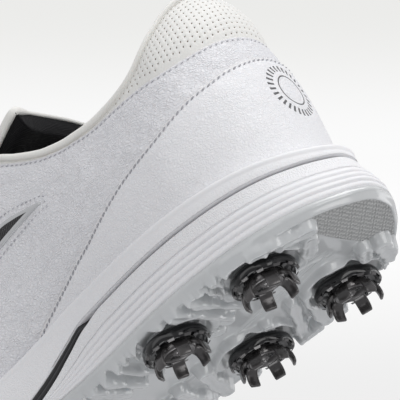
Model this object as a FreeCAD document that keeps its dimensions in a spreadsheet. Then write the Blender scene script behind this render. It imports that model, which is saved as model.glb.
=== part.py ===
import FreeCAD, Part
import math
import os
from FreeCAD import Vector, Placement, Rotation

# Golf shoe, right foot, size 42.5 (300 mm outsole).  Toe towards +X, medial
# side towards +Y, up +Z.  The spike tips stand on z = 0 and the origin is the
# middle of the footprint.
os.makedirs("parts", exist_ok=True)
doc = FreeCAD.newDocument("golf_shoe")

# ---------------------------------------------------------------- dimensions
SIZES = [
    ("sole_length", 300.0), ("sole_half_length", 150.0),
    ("pad_span", 140.0), ("lip_rise", 5.4), ("cup_gap", 1.65),
    ("leather", 1.3), ("overlay", 1.1), ("layer_gap", 0.2),
    ("lining", 0.8), ("stiffener", 1.5), ("collar_foam", 5.0),
    ("strobel", 1.4), ("sockliner", 4.2), ("outsole_plate", 2.9),
    ("spike_radius", 11.0), ("spike_seat", 9.9), ("spike_height", 9.9),
    ("hub_radius", 5.9), ("hub_plate", 1.6), ("stud_radius", 5.0),
    ("stud_length", 5.4), ("leg_count", 6.0), ("leg_width", 3.9),
    ("leg_inner", 4.6), ("leg_outer", 7.9), ("wrench_hole", 0.85),
    ("wrench_offset", 3.0), ("receptacle_radius", 8.0),
    ("receptacle_bottom", 10.2), ("receptacle_top", 17.4),
    ("receptacle_bore", 5.06), ("receptacle_bore_top", 15.7),
    ("lace_width", 6.0), ("lace_thick", 1.2), ("heel_pad", 0.9),
]
sheet = doc.addObject("Spreadsheet::Sheet", "Sizes")
for row, (alias, value) in enumerate(SIZES, 1):
    sheet.set("A%d" % row, alias)
    sheet.set("B%d" % row, "%g" % value)
    sheet.setAlias("B%d" % row, alias)
doc.recompute()


def size(alias):
    return float(getattr(sheet, alias))


# ------------------------------------------------------------- curve helpers
def spline(xs, ys):
    """Natural cubic spline through the points, straight beyond the ends."""
    n = len(xs)
    hh = [xs[i + 1] - xs[i] for i in range(n - 1)]
    al = [0.0] * n
    for i in range(1, n - 1):
        al[i] = 3.0 * ((ys[i + 1] - ys[i]) / hh[i] - (ys[i] - ys[i - 1]) / hh[i - 1])
    lo = [1.0] * n
    mu = [0.0] * n
    zz = [0.0] * n
    for i in range(1, n - 1):
        lo[i] = 2.0 * (xs[i + 1] - xs[i - 1]) - hh[i - 1] * mu[i - 1]
        mu[i] = hh[i] / lo[i]
        zz[i] = (al[i] - hh[i - 1] * zz[i - 1]) / lo[i]
    cc = [0.0] * n
    bb = [0.0] * n
    dd = [0.0] * n
    for j in range(n - 2, -1, -1):
        cc[j] = zz[j] - mu[j] * cc[j + 1]
        bb[j] = (ys[j + 1] - ys[j]) / hh[j] - hh[j] * (cc[j + 1] + 2.0 * cc[j]) / 3.0
        dd[j] = (cc[j + 1] - cc[j]) / (3.0 * hh[j])

    def at(x):
        if x <= xs[0]:
            return ys[0] + bb[0] * (x - xs[0])
        if x >= xs[-1]:
            e = hh[-1]
            slope = bb[n - 2] + 2.0 * cc[n - 2] * e + 3.0 * dd[n - 2] * e * e
            return ys[-1] + slope * (x - xs[-1])
        k = 0
        while k < n - 2 and x > xs[k + 1]:
            k += 1
        t = x - xs[k]
        return ys[k] + t * (bb[k] + t * (cc[k] + t * dd[k]))

    return at


def pchip(xs, ys):
    """Monotone cubic through the points, level beyond the ends."""
    n = len(xs)
    dl = [(ys[i + 1] - ys[i]) / (xs[i + 1] - xs[i]) for i in range(n - 1)]
    m = [dl[0]] + [0.0] * (n - 2) + [dl[-1]]
    for i in range(1, n - 1):
        if dl[i - 1] * dl[i] > 0:
            w1 = 2 * (xs[i + 1] - xs[i]) + (xs[i] - xs[i - 1])
            w2 = (xs[i + 1] - xs[i]) + 2 * (xs[i] - xs[i - 1])
            m[i] = (w1 + w2) / (w1 / dl[i - 1] + w2 / dl[i])

    def at(x):
        if x <= xs[0]:
            return ys[0]
        if x >= xs[-1]:
            return ys[-1]
        k = 0
        while k < n - 2 and x > xs[k + 1]:
            k += 1
        hk = xs[k + 1] - xs[k]
        t = (x - xs[k]) / hk
        return ((2 * t ** 3 - 3 * t ** 2 + 1) * ys[k] + (t ** 3 - 2 * t ** 2 + t) * hk * m[k]
                + (-2 * t ** 3 + 3 * t ** 2) * ys[k + 1] + (t ** 3 - t ** 2) * hk * m[k + 1])

    return at


# ------------------------------------------------- the sole's plan and levels
# Closed plan outline of the midsole side wall, walked from the heel centre
# round the medial side to the toe and back along the lateral side.
OUTLINE = [
    (-148.2, 1.5), (-148.6, 8.5), (-145.0, 17.2), (-139.0, 24.8), (-129.5, 31.2),
    (-116.0, 35.2), (-99.0, 36.5), (-80.0, 35.1), (-60.0, 31.2), (-40.0, 27.9),
    (-20.0, 27.4), (0.0, 30.8), (20.0, 38.2), (40.0, 46.2), (60.0, 51.6),
    (80.0, 53.5), (100.0, 52.2), (116.0, 48.2), (130.0, 41.6), (140.5, 32.0),
    (147.0, 20.5), (150.0, 7.5), (149.0, -5.0), (144.0, -16.5), (133.5, -28.6),
    (118.0, -39.8), (100.0, -47.4), (80.0, -52.0), (60.0, -53.5), (40.0, -52.1),
    (20.0, -48.2), (0.0, -43.6), (-20.0, -40.0), (-40.0, -37.6), (-60.0, -36.6),
    (-80.0, -36.4), (-99.0, -36.2), (-110.0, -34.6), (-121.5, -30.4), (-131.0, -24.0),
    (-138.0, -17.0), (-143.0, -10.0), (-146.8, -3.5),
]


def inset(points, amount):
    """Plan outline moved inwards by amount (a number, or a function of x)."""
    out = []
    n = len(points)
    for i in range(n):
        ax, ay = points[i - 1]
        bx, by = points[(i + 1) % n]
        tx, ty = bx - ax, by - ay
        ln = math.hypot(tx, ty)
        a = amount(points[i][0]) if callable(amount) else amount
        out.append((points[i][0] + a * ty / ln, points[i][1] - a * tx / ln))
    return out


lip_top = pchip([-152, -135, -115, -90, -50, -30, -10, 15, 50, 90, 125, 152],
                [33.0, 34.4, 35.3, 35.9, 36.6, 34.6, 31.9, 29.7, 28.2, 28.2, 30.6, 34.0])
out_low = pchip([-150, -143, -125, -60, 0, 60, 100, 130, 150],
                [12.6, 11.7, 11.2, 11.2, 10.9, 10.2, 11.0, 14.6, 19.0])
upper_low = pchip([-152, -60, -50, -40, -30, -22, -10, 6, 20],
                  [29.6, 29.6, 29.3, 26.6, 23.2, 20.6, 17.3, 15.1, 14.5])
lower_top = pchip([-152, -60, -50, -40, -30, -22, -14, -8, 0],
                  [28.4, 28.4, 27.6, 24.2, 20.2, 17.5, 15.2, 14.35, 14.0])


# the side wall leans in towards the rear
heel_taper = pchip([-153, -140, -128, -112, -95], [4.8, 4.4, 2.6, 0.8, 0.0])


def out_top(x):
    return out_low(x) + size("outsole_plate")


def carrier_low(x):
    # Underside of the upper midsole: over the shank plate behind, straight on
    # the outsole in front.
    if x >= 20:
        return max(out_top(x) + 0.1, 0.0)
    t = min(max((x + 10.0) / 30.0, 0.0), 1.0)
    return upper_low(x) * (1 - t) + (out_top(x) + 0.1) * t if x > -10 else upper_low(x)


# ------------------------------------------------------ the shape of the upper
# Every column of the upper runs from the feather line to the top line as a
# cubic with four control points.  Columns are numbered from the heel centre
# (0) round each side to the toe (14); from column 10 on they close over the
# foot.
MEDIAL = [
    ((-132.6, 1.2, 30.5), (-135.4, 1.6, 54), (-132.4, 1.6, 84), (-124.0, 1.6, 104)),
    ((-130.2, 14.2, 30.5), (-133.2, 16.4, 54), (-129.9, 13.9, 83), (-122.6, 11.2, 102.6)),
    ((-122.6, 24.0, 30.7), (-124.8, 27.6, 54), (-122.0, 24.2, 79), (-116.8, 20.8, 97.2)),
    ((-111.4, 30.4, 31.0), (-112.2, 34.4, 53), (-110.8, 31.2, 72), (-107.6, 27.8, 87.4)),
    ((-96.0, 32.6, 31.4), (-96.2, 36.8, 52), (-95.2, 32.9, 67), (-93.2, 29.4, 80.3)),
    ((-71.0, 29.6, 32.2), (-71.2, 34.4, 52), (-71.0, 31.4, 68), (-71.0, 28.2, 81.8)),
    ((-44.0, 23.6, 31.0), (-44.0, 31.0, 54), (-45.0, 30.8, 78), (-47.0, 26.0, 94.5)),
    ((-16.0, 22.8, 27.4), (-15.0, 33.0, 54), (-18.0, 33.0, 82), (-24.0, 23.0, 99)),
    ((12.0, 31.0, 24.6), (13.0, 40.5, 50), (12.0, 34.5, 78), (8.0, 19.5, 89)),
    ((38.0, 41.6, 23.1), (39.0, 48.5, 46), (41.0, 33.0, 72), (42.0, 15.5, 76)),
    ((66.0, 48.6, 22.5), (66.0, 53.5, 45), (66.0, 31.0, 67.5), (66.0, 0, 68)),
    ((92.0, 49.4, 22.7), (92.0, 53.4, 42), (92.0, 31.0, 60.5), (92.0, 0, 61)),
    ((113.0, 45.6, 24.0), (114.0, 50.0, 41), (113.0, 29.0, 55), (113.0, 1.5, 55.5)),
    ((129.0, 38.4, 25.6), (132.8, 42.0, 37.5), (136.0, 24.0, 47), (136.0, 4, 47.5)),
    ((139.0, 29.0, 27.2), (143.0, 24.4, 28.0), (146.0, 16.0, 28.6), (146.4, 7, 28.9)),
]
LATERAL = [
    ((-132.6, 1.2, 30.5), (-135.4, 1.6, 54), (-132.4, 1.6, 84), (-124.0, 1.6, 104)),
    ((-129.3, -10.9, 30.5), (-132.2, -12.9, 54), (-128.9, -10.5, 83), (-121.8, -8.2, 102.2)),
    ((-121.2, -20.8, 30.7), (-123.5, -24.2, 54), (-120.6, -20.6, 79), (-115.1, -16.7, 96.5)),
    ((-112.8, -27.6, 31.0), (-113.7, -31.5, 53), (-112.3, -28.2, 72.5), (-108.4, -24.7, 87.6)),
    ((-96.0, -32.6, 31.4), (-96.2, -36.8, 52), (-95.2, -32.9, 67), (-93.2, -29.4, 79.2)),
    ((-71.0, -32.8, 32.2), (-71.2, -37.0, 52), (-71.0, -33.0, 67), (-71.0, -29.2, 79.8)),
    ((-44.0, -33.6, 31.0), (-44.0, -38.6, 53), (-45.0, -35.4, 76), (-47.0, -27.6, 92.4)),
    ((-16.0, -36.2, 27.4), (-15.0, -41.6, 53), (-18.0, -37.2, 80), (-24.0, -24.5, 98)),
    ((12.0, -42.2, 24.6), (13.0, -46.6, 48), (12.0, -36.8, 75), (8.0, -20.5, 88)),
    ((38.0, -47.8, 23.1), (39.0, -51.0, 43), (41.0, -33.8, 70), (42.0, -16.0, 75)),
    ((66.0, -49.4, 22.5), (66.0, -52.4, 42), (66.0, -31.0, 67), (66.0, 0, 68)),
    ((91.0, -46.8, 22.7), (91.5, -50.0, 39), (92.0, -31.0, 60), (92.0, 0, 61)),
    ((111.5, -39.4, 24.0), (113.0, -43.4, 38), (113.0, -27.0, 54.5), (113.0, 1.5, 55.5)),
    ((127.0, -29.6, 25.6), (131.0, -33.4, 36.5), (135.6, -18.0, 46.8), (136.0, 4, 47.5)),
    ((137.0, -18.6, 27.2), (142.0, -12.8, 28.0), (146.0, -3.0, 28.6), (146.4, 7, 28.9)),
]
KEYS = [float(i) for i in range(-14, 15)]
NET = [[spline(KEYS, [(LATERAL[-i] if i < 0 else MEDIAL[i])[c][d] for i in range(-14, 15)])
        for d in range(3)] for c in range(4)]
RIDGE_Y = pchip(KEYS, [(LATERAL[-i] if i < 0 else MEDIAL[i])[3][1] for i in range(-14, 15)])


def control(c, d, u):
    if c < 3:
        return NET[c][d](u)
    if d == 1:
        return RIDGE_Y(u)
    if abs(u) > 10.0:
        return 0.5 * (NET[3][d](u) + NET[3][d](-u))
    return NET[3][d](u)


def skin(u, v):
    """Point of the outer leather surface: u round the shoe, v up the wall."""
    w = 1.0 - v
    b = (w * w * w, 3 * w * w * v, 3 * w * v * v, v * v * v)
    return Vector(*[sum(b[c] * control(c, d, u) for c in range(4)) for d in range(3)])


def normal(u, v):
    e = 0.02
    va, vb = max(v - 0.01, 0.0), min(v + 0.01, 1.0)
    du = skin(u + e, v) - skin(u - e, v)
    dv = skin(u, vb) - skin(u, va)
    n = du.cross(dv)
    n.normalize()
    # columns run lateral -> heel -> medial, so the outward side is fixed here
    return n.negative()


def layer(u, v, off):
    p = skin(u, v)
    return p + normal(u, v) * off


def grid_face(rows):
    surf = Part.BSplineSurface()
    surf.interpolate(rows)
    return surf


def ruled(co, ci):
    """Face ruled between two curves that run the same way."""
    gaps = [(co.value(co.FirstParameter + (co.LastParameter - co.FirstParameter) * k / 8.0)
             - ci.value(ci.FirstParameter + (ci.LastParameter - ci.FirstParameter) * k / 8.0)).Length
            for k in range(9)]
    expect = co.toShape().Length * sum(gaps) / 9.0
    first = Part.makeRuledSurface(co.toShape(), ci.toShape())
    if first.Area < 1.6 * expect:
        return first
    back = ci.copy()
    back.reverse()
    return Part.makeRuledSurface(co.toShape(), back.toShape())


def grid_solid(outer, inner):
    """Closed solid between two equal grids of points: the two skins and the
    ruled edge faces that join them."""
    so, si = grid_face(outer), grid_face(inner)
    faces = [so.toShape(), si.toShape()]
    u0, u1, v0, v1 = so.bounds()
    a0, a1, b0, b1 = si.bounds()
    for co, ci in ((so.uIso(u0), si.uIso(a0)), (so.uIso(u1), si.uIso(a1)),
                   (so.vIso(v0), si.vIso(b0)), (so.vIso(v1), si.vIso(b1))):
        faces.append(ruled(co, ci))
    shell = Part.makeShell(faces)
    shell.sewShape()
    if shell.ShapeType != "Shell":
        shell = shell.Shells[0]
    solid = Part.Solid(shell)
    if solid.Volume < 0:
        solid.reverse()
    return solid


NODES = []


def keep(obj, name):
    obj.Label = name
    NODES.append((name, obj))
    return obj


def feature(name, shape):
    if isinstance(shape, Part.Shape) and shape.ShapeType == "Solid" and shape.Volume < 0:
        shape.reverse()
    obj = doc.addObject("Part::Feature", name)
    obj.Shape = shape
    obj.Placement = Placement(Vector(0, 0, 0), Rotation(0, 0, 0, 1))
    return keep(obj, name)


def panel(us, v_low, v_high, off_in, off_out, rows=7):
    """Solid layer between two columns, two heights and two offsets."""
    wires = ([], [])
    for u in us:
        lo = v_low(u) if callable(v_low) else v_low
        hi = v_high(u) if callable(v_high) else v_high
        vs = [lo + (hi - lo) * k / (rows - 1.0) for k in range(rows)]
        oi = off_in if callable(off_in) else (lambda uu, tt, c=off_in: c)
        oo = off_out if callable(off_out) else (lambda uu, tt, c=off_out: c)
        outer = [layer(u, v, oo(u, k / (rows - 1.0))) for k, v in enumerate(vs)]
        inner = [layer(u, v, oi(u, k / (rows - 1.0))) for k, v in enumerate(vs)]
        wires[0].append(outer)
        wires[1].append(inner)
    return grid_solid(*wires)


def arch(us, off_in, off_out, rows=6, v0=0.0):
    """Solid layer that closes over the foot from feather to feather."""
    wires = ([], [])
    for u in us:
        outer, inner = [], []
        for side in (1, -1):
            for k in (range(rows) if side == 1 else range(rows - 2, -1, -1)):
                v = v0 + (1.0 - v0) * k / (rows - 1.0)
                if v > 0.999:
                    nm = normal(u, v) + normal(-u, v)
                    nm.normalize()
                    p = skin(u, v)
                else:
                    nm = normal(side * u, v)
                    p = skin(side * u, v)
                outer.append(p + nm * off_out)
                inner.append(p + nm * off_in)
        wires[0].append(outer)
        wires[1].append(inner)
    return grid_solid(*wires)


def steps(a, b, n):
    return [a + (b - a) * i / (n - 1.0) for i in range(n)]


def shared(a, b, pitch=0.5):
    """Stations from a to b that every layer has in common."""
    lo, hi = min(a, b), max(a, b)
    inner = [k * pitch for k in range(int(math.floor(lo / pitch)) - 1, int(math.ceil(hi / pitch)) + 2)
             if lo + 0.22 * pitch < k * pitch < hi - 0.22 * pitch]
    out = [lo] + inner + [hi]
    return out if a <= b else out[::-1]


GAP = size("layer_gap")
LEATHER = size("leather")
EDGE = 0.012

# ------------------------------------------------------------ PartDesign help
def plane_of(body, role):
    return [f for f in body.Origin.OriginFeatures if f.Role == role][0]


def sketch_on(body, role, name, offset=0.0):
    sk = body.newObject("Sketcher::SketchObject", name)
    sk.AttachmentSupport = [(plane_of(body, role), "")]
    sk.MapMode = "FlatFace"
    if offset:
        sk.AttachmentOffset = Placement(Vector(0, 0, offset), Rotation(0, 0, 0, 1))
    return sk


def outline_body(name, points):
    """Upright prism of a closed plan outline."""
    body = doc.addObject("PartDesign::Body", name)
    sk = sketch_on(body, "XY_Plane", name + "_plan")
    c = Part.BSplineCurve()
    c.interpolate([Vector(x, y, 0) for x, y in points], PeriodicFlag=True)
    sk.addGeometry(c, False)
    pad = body.newObject("PartDesign::Pad", name + "_pad")
    pad.Profile = sk
    pad.setExpression("Length", "Sizes.pad_span")
    body.Tip = pad
    return body


def profile_body(name, low, high, x0, x1, count=25):
    """Side profile between two height curves, padded across the shoe."""
    body = doc.addObject("PartDesign::Body", name)
    sk = sketch_on(body, "XZ_Plane", name + "_side")
    xs = shared(x0, x1, 3.0)
    a = Part.BSplineCurve()
    a.interpolate([Vector(x, low(x), 0) for x in xs])
    b = Part.BSplineCurve()
    b.interpolate([Vector(x, high(x), 0) for x in xs])
    sk.addGeometry(a, False)
    sk.addGeometry(Part.LineSegment(Vector(x1, low(x1), 0), Vector(x1, high(x1), 0)), False)
    sk.addGeometry(b, False)
    sk.addGeometry(Part.LineSegment(Vector(x0, high(x0), 0), Vector(x0, low(x0), 0)), False)
    pad = body.newObject("PartDesign::Pad", name + "_pad")
    pad.Profile = sk
    pad.setExpression("Length", "Sizes.pad_span")
    try:
        pad.SideType = "Symmetric"
    except Exception:
        pad.Midplane = True
    body.Tip = pad
    return body


def slab(name, low, high, points, x0=-153.0, x1=153.0, count=25):
    """Part of a plan outline between two height curves."""
    common = doc.addObject("Part::MultiCommon", name)
    common.Shapes = [profile_body(name + "_profile", low, high, x0, x1, count),
                     outline_body(name + "_outline", points)]
    return common


def cut(name, base, tool):
    c = doc.addObject("Part::Cut", name)
    c.Base = base
    c.Tool = tool
    return c


# ----------------------------------------------------------------- spike plan
SPIKES = [("heel_medial", -110.0, 21.0), ("heel_lateral", -110.0, -21.0),
          ("waist_medial", -72.1, 21.0), ("waist_lateral", -72.1, -21.0),
          ("ball_medial", 36.0, 29.0), ("ball_lateral", 32.0, -33.0),
          ("toe_medial", 84.0, 32.0), ("toe_lateral", 78.0, -31.0)]

wells = doc.addObject("Part::Feature", "spike_wells")
_w = [Part.makeCylinder(size("receptacle_radius") + 0.06, size("receptacle_top") + 0.1, Vector(x, y, 0))
      for n, x, y in SPIKES]
wells.Shape = Part.makeCompound(_w)
wells.Placement = Placement(Vector(0, 0, 0), Rotation(0, 0, 0, 1))

# --------------------------------------------------------------------- bottom
outsole_blank = slab("outsole_blank", out_low, out_top, inset(OUTLINE, 0.4))
# traction lugs: rounded blocks standing down from the plate
LUGS = [(-134.0, 14.0, 5.0), (-131.6, -11.5, 4.4), (-91.0, 27.5, 5.0), (-91.0, -27.5, 5.5),
        (-52.0, 22.5, 4.5), (-52.0, -29.0, 5.0), (-18.0, -32.0, 5.0), (6.0, 24.0, 4.5),
        (10.0, -36.0, 5.0), (58.0, 43.0, 5.0), (56.0, -45.0, 5.0), (60.0, 8.0, 5.0),
        (58.0, -12.0, 5.0), (104.0, 40.0, 5.0), (102.0, -34.0, 5.0), (108.0, 16.0, 5.0),
        (108.0, -10.0, 5.0), (126.0, 22.0, 4.5), (126.0, -8.0, 4.5), (30.0, 4.0, 4.0)]
lugs = doc.addObject("Part::Feature", "lug_blanks")
_l = []
for lx, ly, lr in LUGS:
    top = out_low(lx) + 1.2
    _l.append(Part.makeCone(lr * 0.72, lr, top - (out_low(lx) - 4.2), Vector(lx, ly, out_low(lx) - 4.2)))
lugs.Shape = Part.makeCompound(_l)
lugs.Placement = Placement(Vector(0, 0, 0), Rotation(0, 0, 0, 1))
outsole_plate = doc.addObject("Part::MultiFuse", "outsole_with_lugs")
outsole_plate.Shapes = [outsole_blank, lugs]
keep(cut("outsole", outsole_plate, wells), "outsole")


feather = [(NET[0][0](u), NET[0][1](u)) for u in steps(0, 14, 29)]
feather_back = [(NET[0][0](-u), NET[0][1](-u)) for u in steps(0, 14, 29)]
ring = feather[::2] + [(144.4, 18.5), (146.4, 7.5), (144.2, -5.0)] + list(reversed(feather_back[2::2]))


def bed(x):
    return bed_curve(x)


bed_curve = spline([-132.6, -122.6, -111.4, -96, -71, -44, -16, 12, 38, 66, 92, 112.5, 128, 138.5, 148],
                   [30.5, 30.7, 31.0, 31.4, 32.2, 31.0, 27.4, 24.6, 23.1, 22.5, 22.7, 24.0, 25.6, 27.2, 29.0])

carrier_blank = slab("carrier_blank", carrier_low, lip_top, inset(OUTLINE, heel_taper))
def wall_ring(z, off):
    """Plan points of the upper's wall line at height z, moved outwards by off."""
    pts = []

    def slide(p0, p1, n):
        k = (z - p0.z) / (p1.z - p0.z)
        n = Vector(n.x, n.y, 0)
        n.normalize()
        q = p0 + (p1 - p0) * k + n * off
        pts.append(Vector(q.x, q.y, z))

    us = [k * 0.5 for k in range(0, 27)]
    for u in us:
        slide(skin(u, 0.0), skin(u, 0.14), normal(u, 0.07))
    for side, v in ((1, 0.3), (1, 0.6), (1, 1.0), (-1, 0.6), (-1, 0.3)):
        p = skin(side * 14.0, v)
        t = skin(side * 14.0, min(v + 0.1, 1.0)) - skin(side * 14.0, v - 0.1)
        n = Vector(t.y, -t.x, 0) * (1.0 if side < 0 else -1.0)
        n.normalize()
        if n.x < 0:
            n = n.negative()
        q = p + n * (off - 0.16 * (z - 28.0))
        pts.append(Vector(q.x, q.y, z))
    for u in us[:0:-1]:
        slide(skin(-u, 0.0), skin(-u, 0.14), normal(-u, 0.07))
    c = Part.BSplineCurve()
    c.interpolate(pts, PeriodicFlag=True)
    return Part.Wire([c.toShape()])


cup_flare = doc.addObject("Part::Feature", "cup_flare")
cup_flare.Shape = Part.makeLoft([wall_ring(18.0, size("cup_gap")), wall_ring(42.0, size("cup_gap"))], True, True)
cup_flare.Placement = Placement(Vector(0, 0, 0), Rotation(0, 0, 0, 1))
cup = doc.addObject("Part::MultiCommon", "cup_void")
cup.Shapes = [cup_flare, profile_body("cup_levels", lambda x: bed(x) - 0.15, lambda x: 60.0, -153.0, 153.0)]
carrier_cup = cut("carrier_cup", carrier_blank, cup)
keep(cut("midsole_carrier", carrier_cup, wells), "midsole_carrier")

wedge_blank = slab("wedge_blank", lambda x: out_top(x) + 0.1, lower_top, inset(OUTLINE, lambda x: 0.5 + 0.3 * heel_taper(x)), -153.0, -9.0, 19)
keep(cut("midsole_heel_wedge", wedge_blank, wells), "midsole_heel_wedge")

shank_inset = pchip([-153, -66, -50, 0, 20], [2.2, 2.2, 0.8, 0.8, 0.8])
keep(slab("shank_plate", lambda x: max(lower_top(x), out_top(x) + 0.1) + 0.15,
          lambda x: carrier_low(x) - 0.15, inset(OUTLINE, lambda x: shank_inset(x) + heel_taper(x)), -146.0, 3.0, 21), "shank_plate")

# textured pad on the rear end of the outsole
pad_pts = [(-146.6, 1.5), (-146.6, 8.4), (-143.2, 16.2), (-137.6, 22.6), (-131.0, 24.8),
           (-128.6, 18.0), (-127.6, 9.0), (-127.3, 0.0), (-127.6, -9.0), (-128.4, -16.0),
           (-131.0, -20.6), (-136.4, -15.6), (-141.2, -9.2), (-144.9, -3.0)]
keep(slab("heel_pad", lambda x: out_low(x) - size("heel_pad") - 0.15, lambda x: out_low(x) - 0.15,
          pad_pts, -150.0, -126.0, 9), "heel_pad_blank")
NODES.pop()
lug_holes = doc.addObject("Part::Feature", "heel_lug_clearance")
lug_holes.Shape = Part.makeCompound([Part.makeCylinder(lr + 0.3, 20, Vector(lx, ly, 0))
                                     for lx, ly, lr in LUGS if lx < -130])
lug_holes.Placement = Placement(Vector(0, 0, 0), Rotation(0, 0, 0, 1))
keep(cut("heel_pad_trim", doc.getObject("heel_pad"), lug_holes), "heel_pad")

# --------------------------------------------------------- bed boards
keep(slab("strobel_board", lambda x: bed(x) + 0.05, lambda x: bed(x) + size("strobel"),
          inset(ring, 3.4)), "strobel_board")
keep(slab("sockliner", lambda x: bed(x) + size("strobel") + 0.1,
          lambda x: bed(x) + size("strobel") + size("sockliner"), inset(ring, 5.6)), "sockliner")

# --------------------------------------------------------- receptacles, spikes
def revolve(name, points, role="XZ_Plane"):
    body = doc.addObject("PartDesign::Body", name)
    sk = sketch_on(body, role, name + "_sketch")
    n = len(points)
    for i in range(n):
        x0, y0 = points[i]
        x1, y1 = points[(i + 1) % n]
        sk.addGeometry(Part.LineSegment(Vector(x0, y0, 0), Vector(x1, y1, 0)), False)
    rev = body.newObject("PartDesign::Revolution", name + "_turn")
    rev.Profile = sk
    rev.ReferenceAxis = (sk, ["V_Axis"])
    rev.Angle = 360.0
    body.Tip = rev
    return body


rb, rt = size("receptacle_bottom"), size("receptacle_top")
rr, bore, bt = size("receptacle_radius"), size("receptacle_bore"), size("receptacle_bore_top")
cups = []
for name, x, y in SPIKES:
    b = revolve("cup_" + name, [(bore, rb), (rr - 0.4, rb), (rr, rb + 0.4), (rr, rt), (0.0, rt),
                                (0.0, bt), (bore, bt)])
    b.Placement = Placement(Vector(x, y, 0), Rotation(0, 0, 0, 1))
    cups.append(b)
group = doc.addObject("Part::Compound", "spike_receptacles")
group.Links = cups
keep(group, "spike_receptacles")

seat, sr, hr = size("spike_seat"), size("spike_radius"), size("hub_radius")
for name, x, y in SPIKES:
    # cleat: dished ring and claw legs of soft polymer
    b = revolve("cleat_" + name,
                [(hr + 0.05, seat - 2.6), (hr + 0.05, seat - 0.2), (9.4, seat - 0.2), (10.5, seat - 1.4),
                 (sr, seat - 3.2), (10.7, seat - 4.6), (10.0, seat - 4.6), (8.9, seat - 2.9),
                 (7.6, seat - 2.5)])
    sk = sketch_on(b, "XZ_Plane", "leg_" + name)
    li, lo = size("leg_inner"), size("leg_outer")
    pts = [(hr + 0.05, seat - 2.2), (7.4, seat - 2.2), (8.3, seat - 4.6), (8.9, seat - 7.4), (8.5, 0.0),
           (6.6, 0.0), (6.5, seat - 6.6), (hr + 0.05, seat - 5.2)]
    for i in range(len(pts)):
        sk.addGeometry(Part.LineSegment(Vector(pts[i][0], pts[i][1], 0),
                                        Vector(pts[(i + 1) % len(pts)][0], pts[(i + 1) % len(pts)][1], 0)), False)
    leg = b.newObject("PartDesign::Pad", "leg_pad_" + name)
    leg.Profile = sk
    leg.setExpression("Length", "Sizes.leg_width")
    try:
        leg.SideType = "Symmetric"
    except Exception:
        leg.Midplane = True
    doc.recompute()
    pat = b.newObject("PartDesign::PolarPattern", "legs_" + name)
    pat.Originals = [leg]
    pat.Axis = (plane_of(b, "Z_Axis"), [""])
    pat.Angle = 360.0
    pat.setExpression("Occurrences", "Sizes.leg_count")
    b.Tip = pat
    b.Placement = Placement(Vector(x, y, 0), Rotation(Vector(0, 0, 1), 15 if y > 0 else 45))
    keep(b, "spike_%s_cleat" % name)

    # stud: hub plate and locking post, with two wrench holes in its face
    s = revolve("stud_" + name, [(0.0, seat - 5.4), (hr - 0.6, seat - 5.4), (hr, seat - 4.8),
                                 (hr, seat - 0.1), (5.0, seat - 0.1), (5.0, seat + 5.2), (4.5, seat + 5.6),
                                 (0.0, seat + 5.6)])
    hs = sketch_on(s, "XY_Plane", "wrench_" + name, offset=seat - 5.4)
    for sgn in (-1, 1):
        hs.addGeometry(Part.Circle(Vector(sgn * size("wrench_offset"), 0, 0), Vector(0, 0, 1),
                                   size("wrench_hole")), False)
    pk = s.newObject("PartDesign::Pocket", "wrench_holes_" + name)
    pk.Profile = hs
    pk.Length = 2.2
    pk.Reversed = True
    s.Tip = pk
    s.Placement = Placement(Vector(x, y, 0), Rotation(Vector(0, 0, 1), 0))
    keep(s, "spike_%s_stud" % name)

# ---------------------------------------------------------------------- upper
seam_v = pchip([0, 1, 2, 3, 4, 5, 6, 6.6], [0.68, 0.68, 0.698, 0.80, 0.90, 0.92, 0.922, 0.922])


def seam(u):
    return seam_v(abs(u))


counter_v = pchip([0, 0.5, 1, 2, 3, 4, 5, 6, 6.5],
                  [0.552, 0.547, 0.534, 0.508, 0.495, 0.453, 0.305, 0.152, 0.09])


def counter(u):
    return counter_v(abs(u))


feature("quarter_medial", panel(shared(0.02, 9.96), EDGE, lambda u: seam(u) if u < 6.6 else
                                0.92 + 0.075 * min((u - 6.6) / 0.3, 1.0), -LEATHER, 0.0, 9))
feature("quarter_lateral", panel(shared(-0.02, -9.96), EDGE, lambda u: seam(u) if u > -6.6 else
                                 0.92 + 0.075 * min((-u - 6.6) / 0.3, 1.0), -LEATHER, 0.0, 9))
feature("vamp", arch(shared(10.04, 13.96), -LEATHER, 0.0, 7))
feature("heel_counter_panel", panel(shared(-6.2, 6.2), EDGE, counter, GAP, GAP + size("overlay"), 6))
feature("collar_tab", panel(shared(-6.5, 6.5), lambda u: seam(u) + 0.014, lambda u: 0.972,
                            -LEATHER, lambda u, t: 0.5 + 0.9 * math.sin(math.pi * min(t * 1.0, 1.0)), 6))
feature("eyestay_medial", panel(shared(6.75, 9.9), 0.80, 0.99, GAP, GAP + size("overlay"), 5))
feature("eyestay_lateral", panel(shared(-6.75, -9.9), 0.80, 0.99, GAP, GAP + size("overlay"), 5))

blade_lo = pchip([5.62, 6.2, 6.8, 7.4, 8.0], [0.600, 0.520, 0.455, 0.415, 0.395])
blade_hi = pchip([5.62, 6.2, 6.8, 7.4, 8.0], [0.618, 0.600, 0.555, 0.490, 0.415])


def blade(side, lo, hi, a, b, oi, oo):
    return panel(shared(side * a, side * b), lambda u: lo(abs(u)), lambda u: hi(abs(u)), oi, oo, 5)


blade_in_lo = pchip([5.80, 6.2, 6.8, 7.4, 7.8], [0.588, 0.538, 0.475, 0.433, 0.412])
blade_in_hi = pchip([5.80, 6.2, 6.8, 7.4, 7.8], [0.600, 0.583, 0.537, 0.474, 0.428])
for label, side in (("medial", 1), ("lateral", -1)):
    feature("side_frame_" + label, blade(side, blade_lo, blade_hi, 5.62, 8.0, GAP, GAP + 0.6))
    feature("side_inlay_" + label, blade(side, blade_in_lo, blade_in_hi, 5.80, 7.8, GAP + 0.68, GAP + 1.1))

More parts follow.
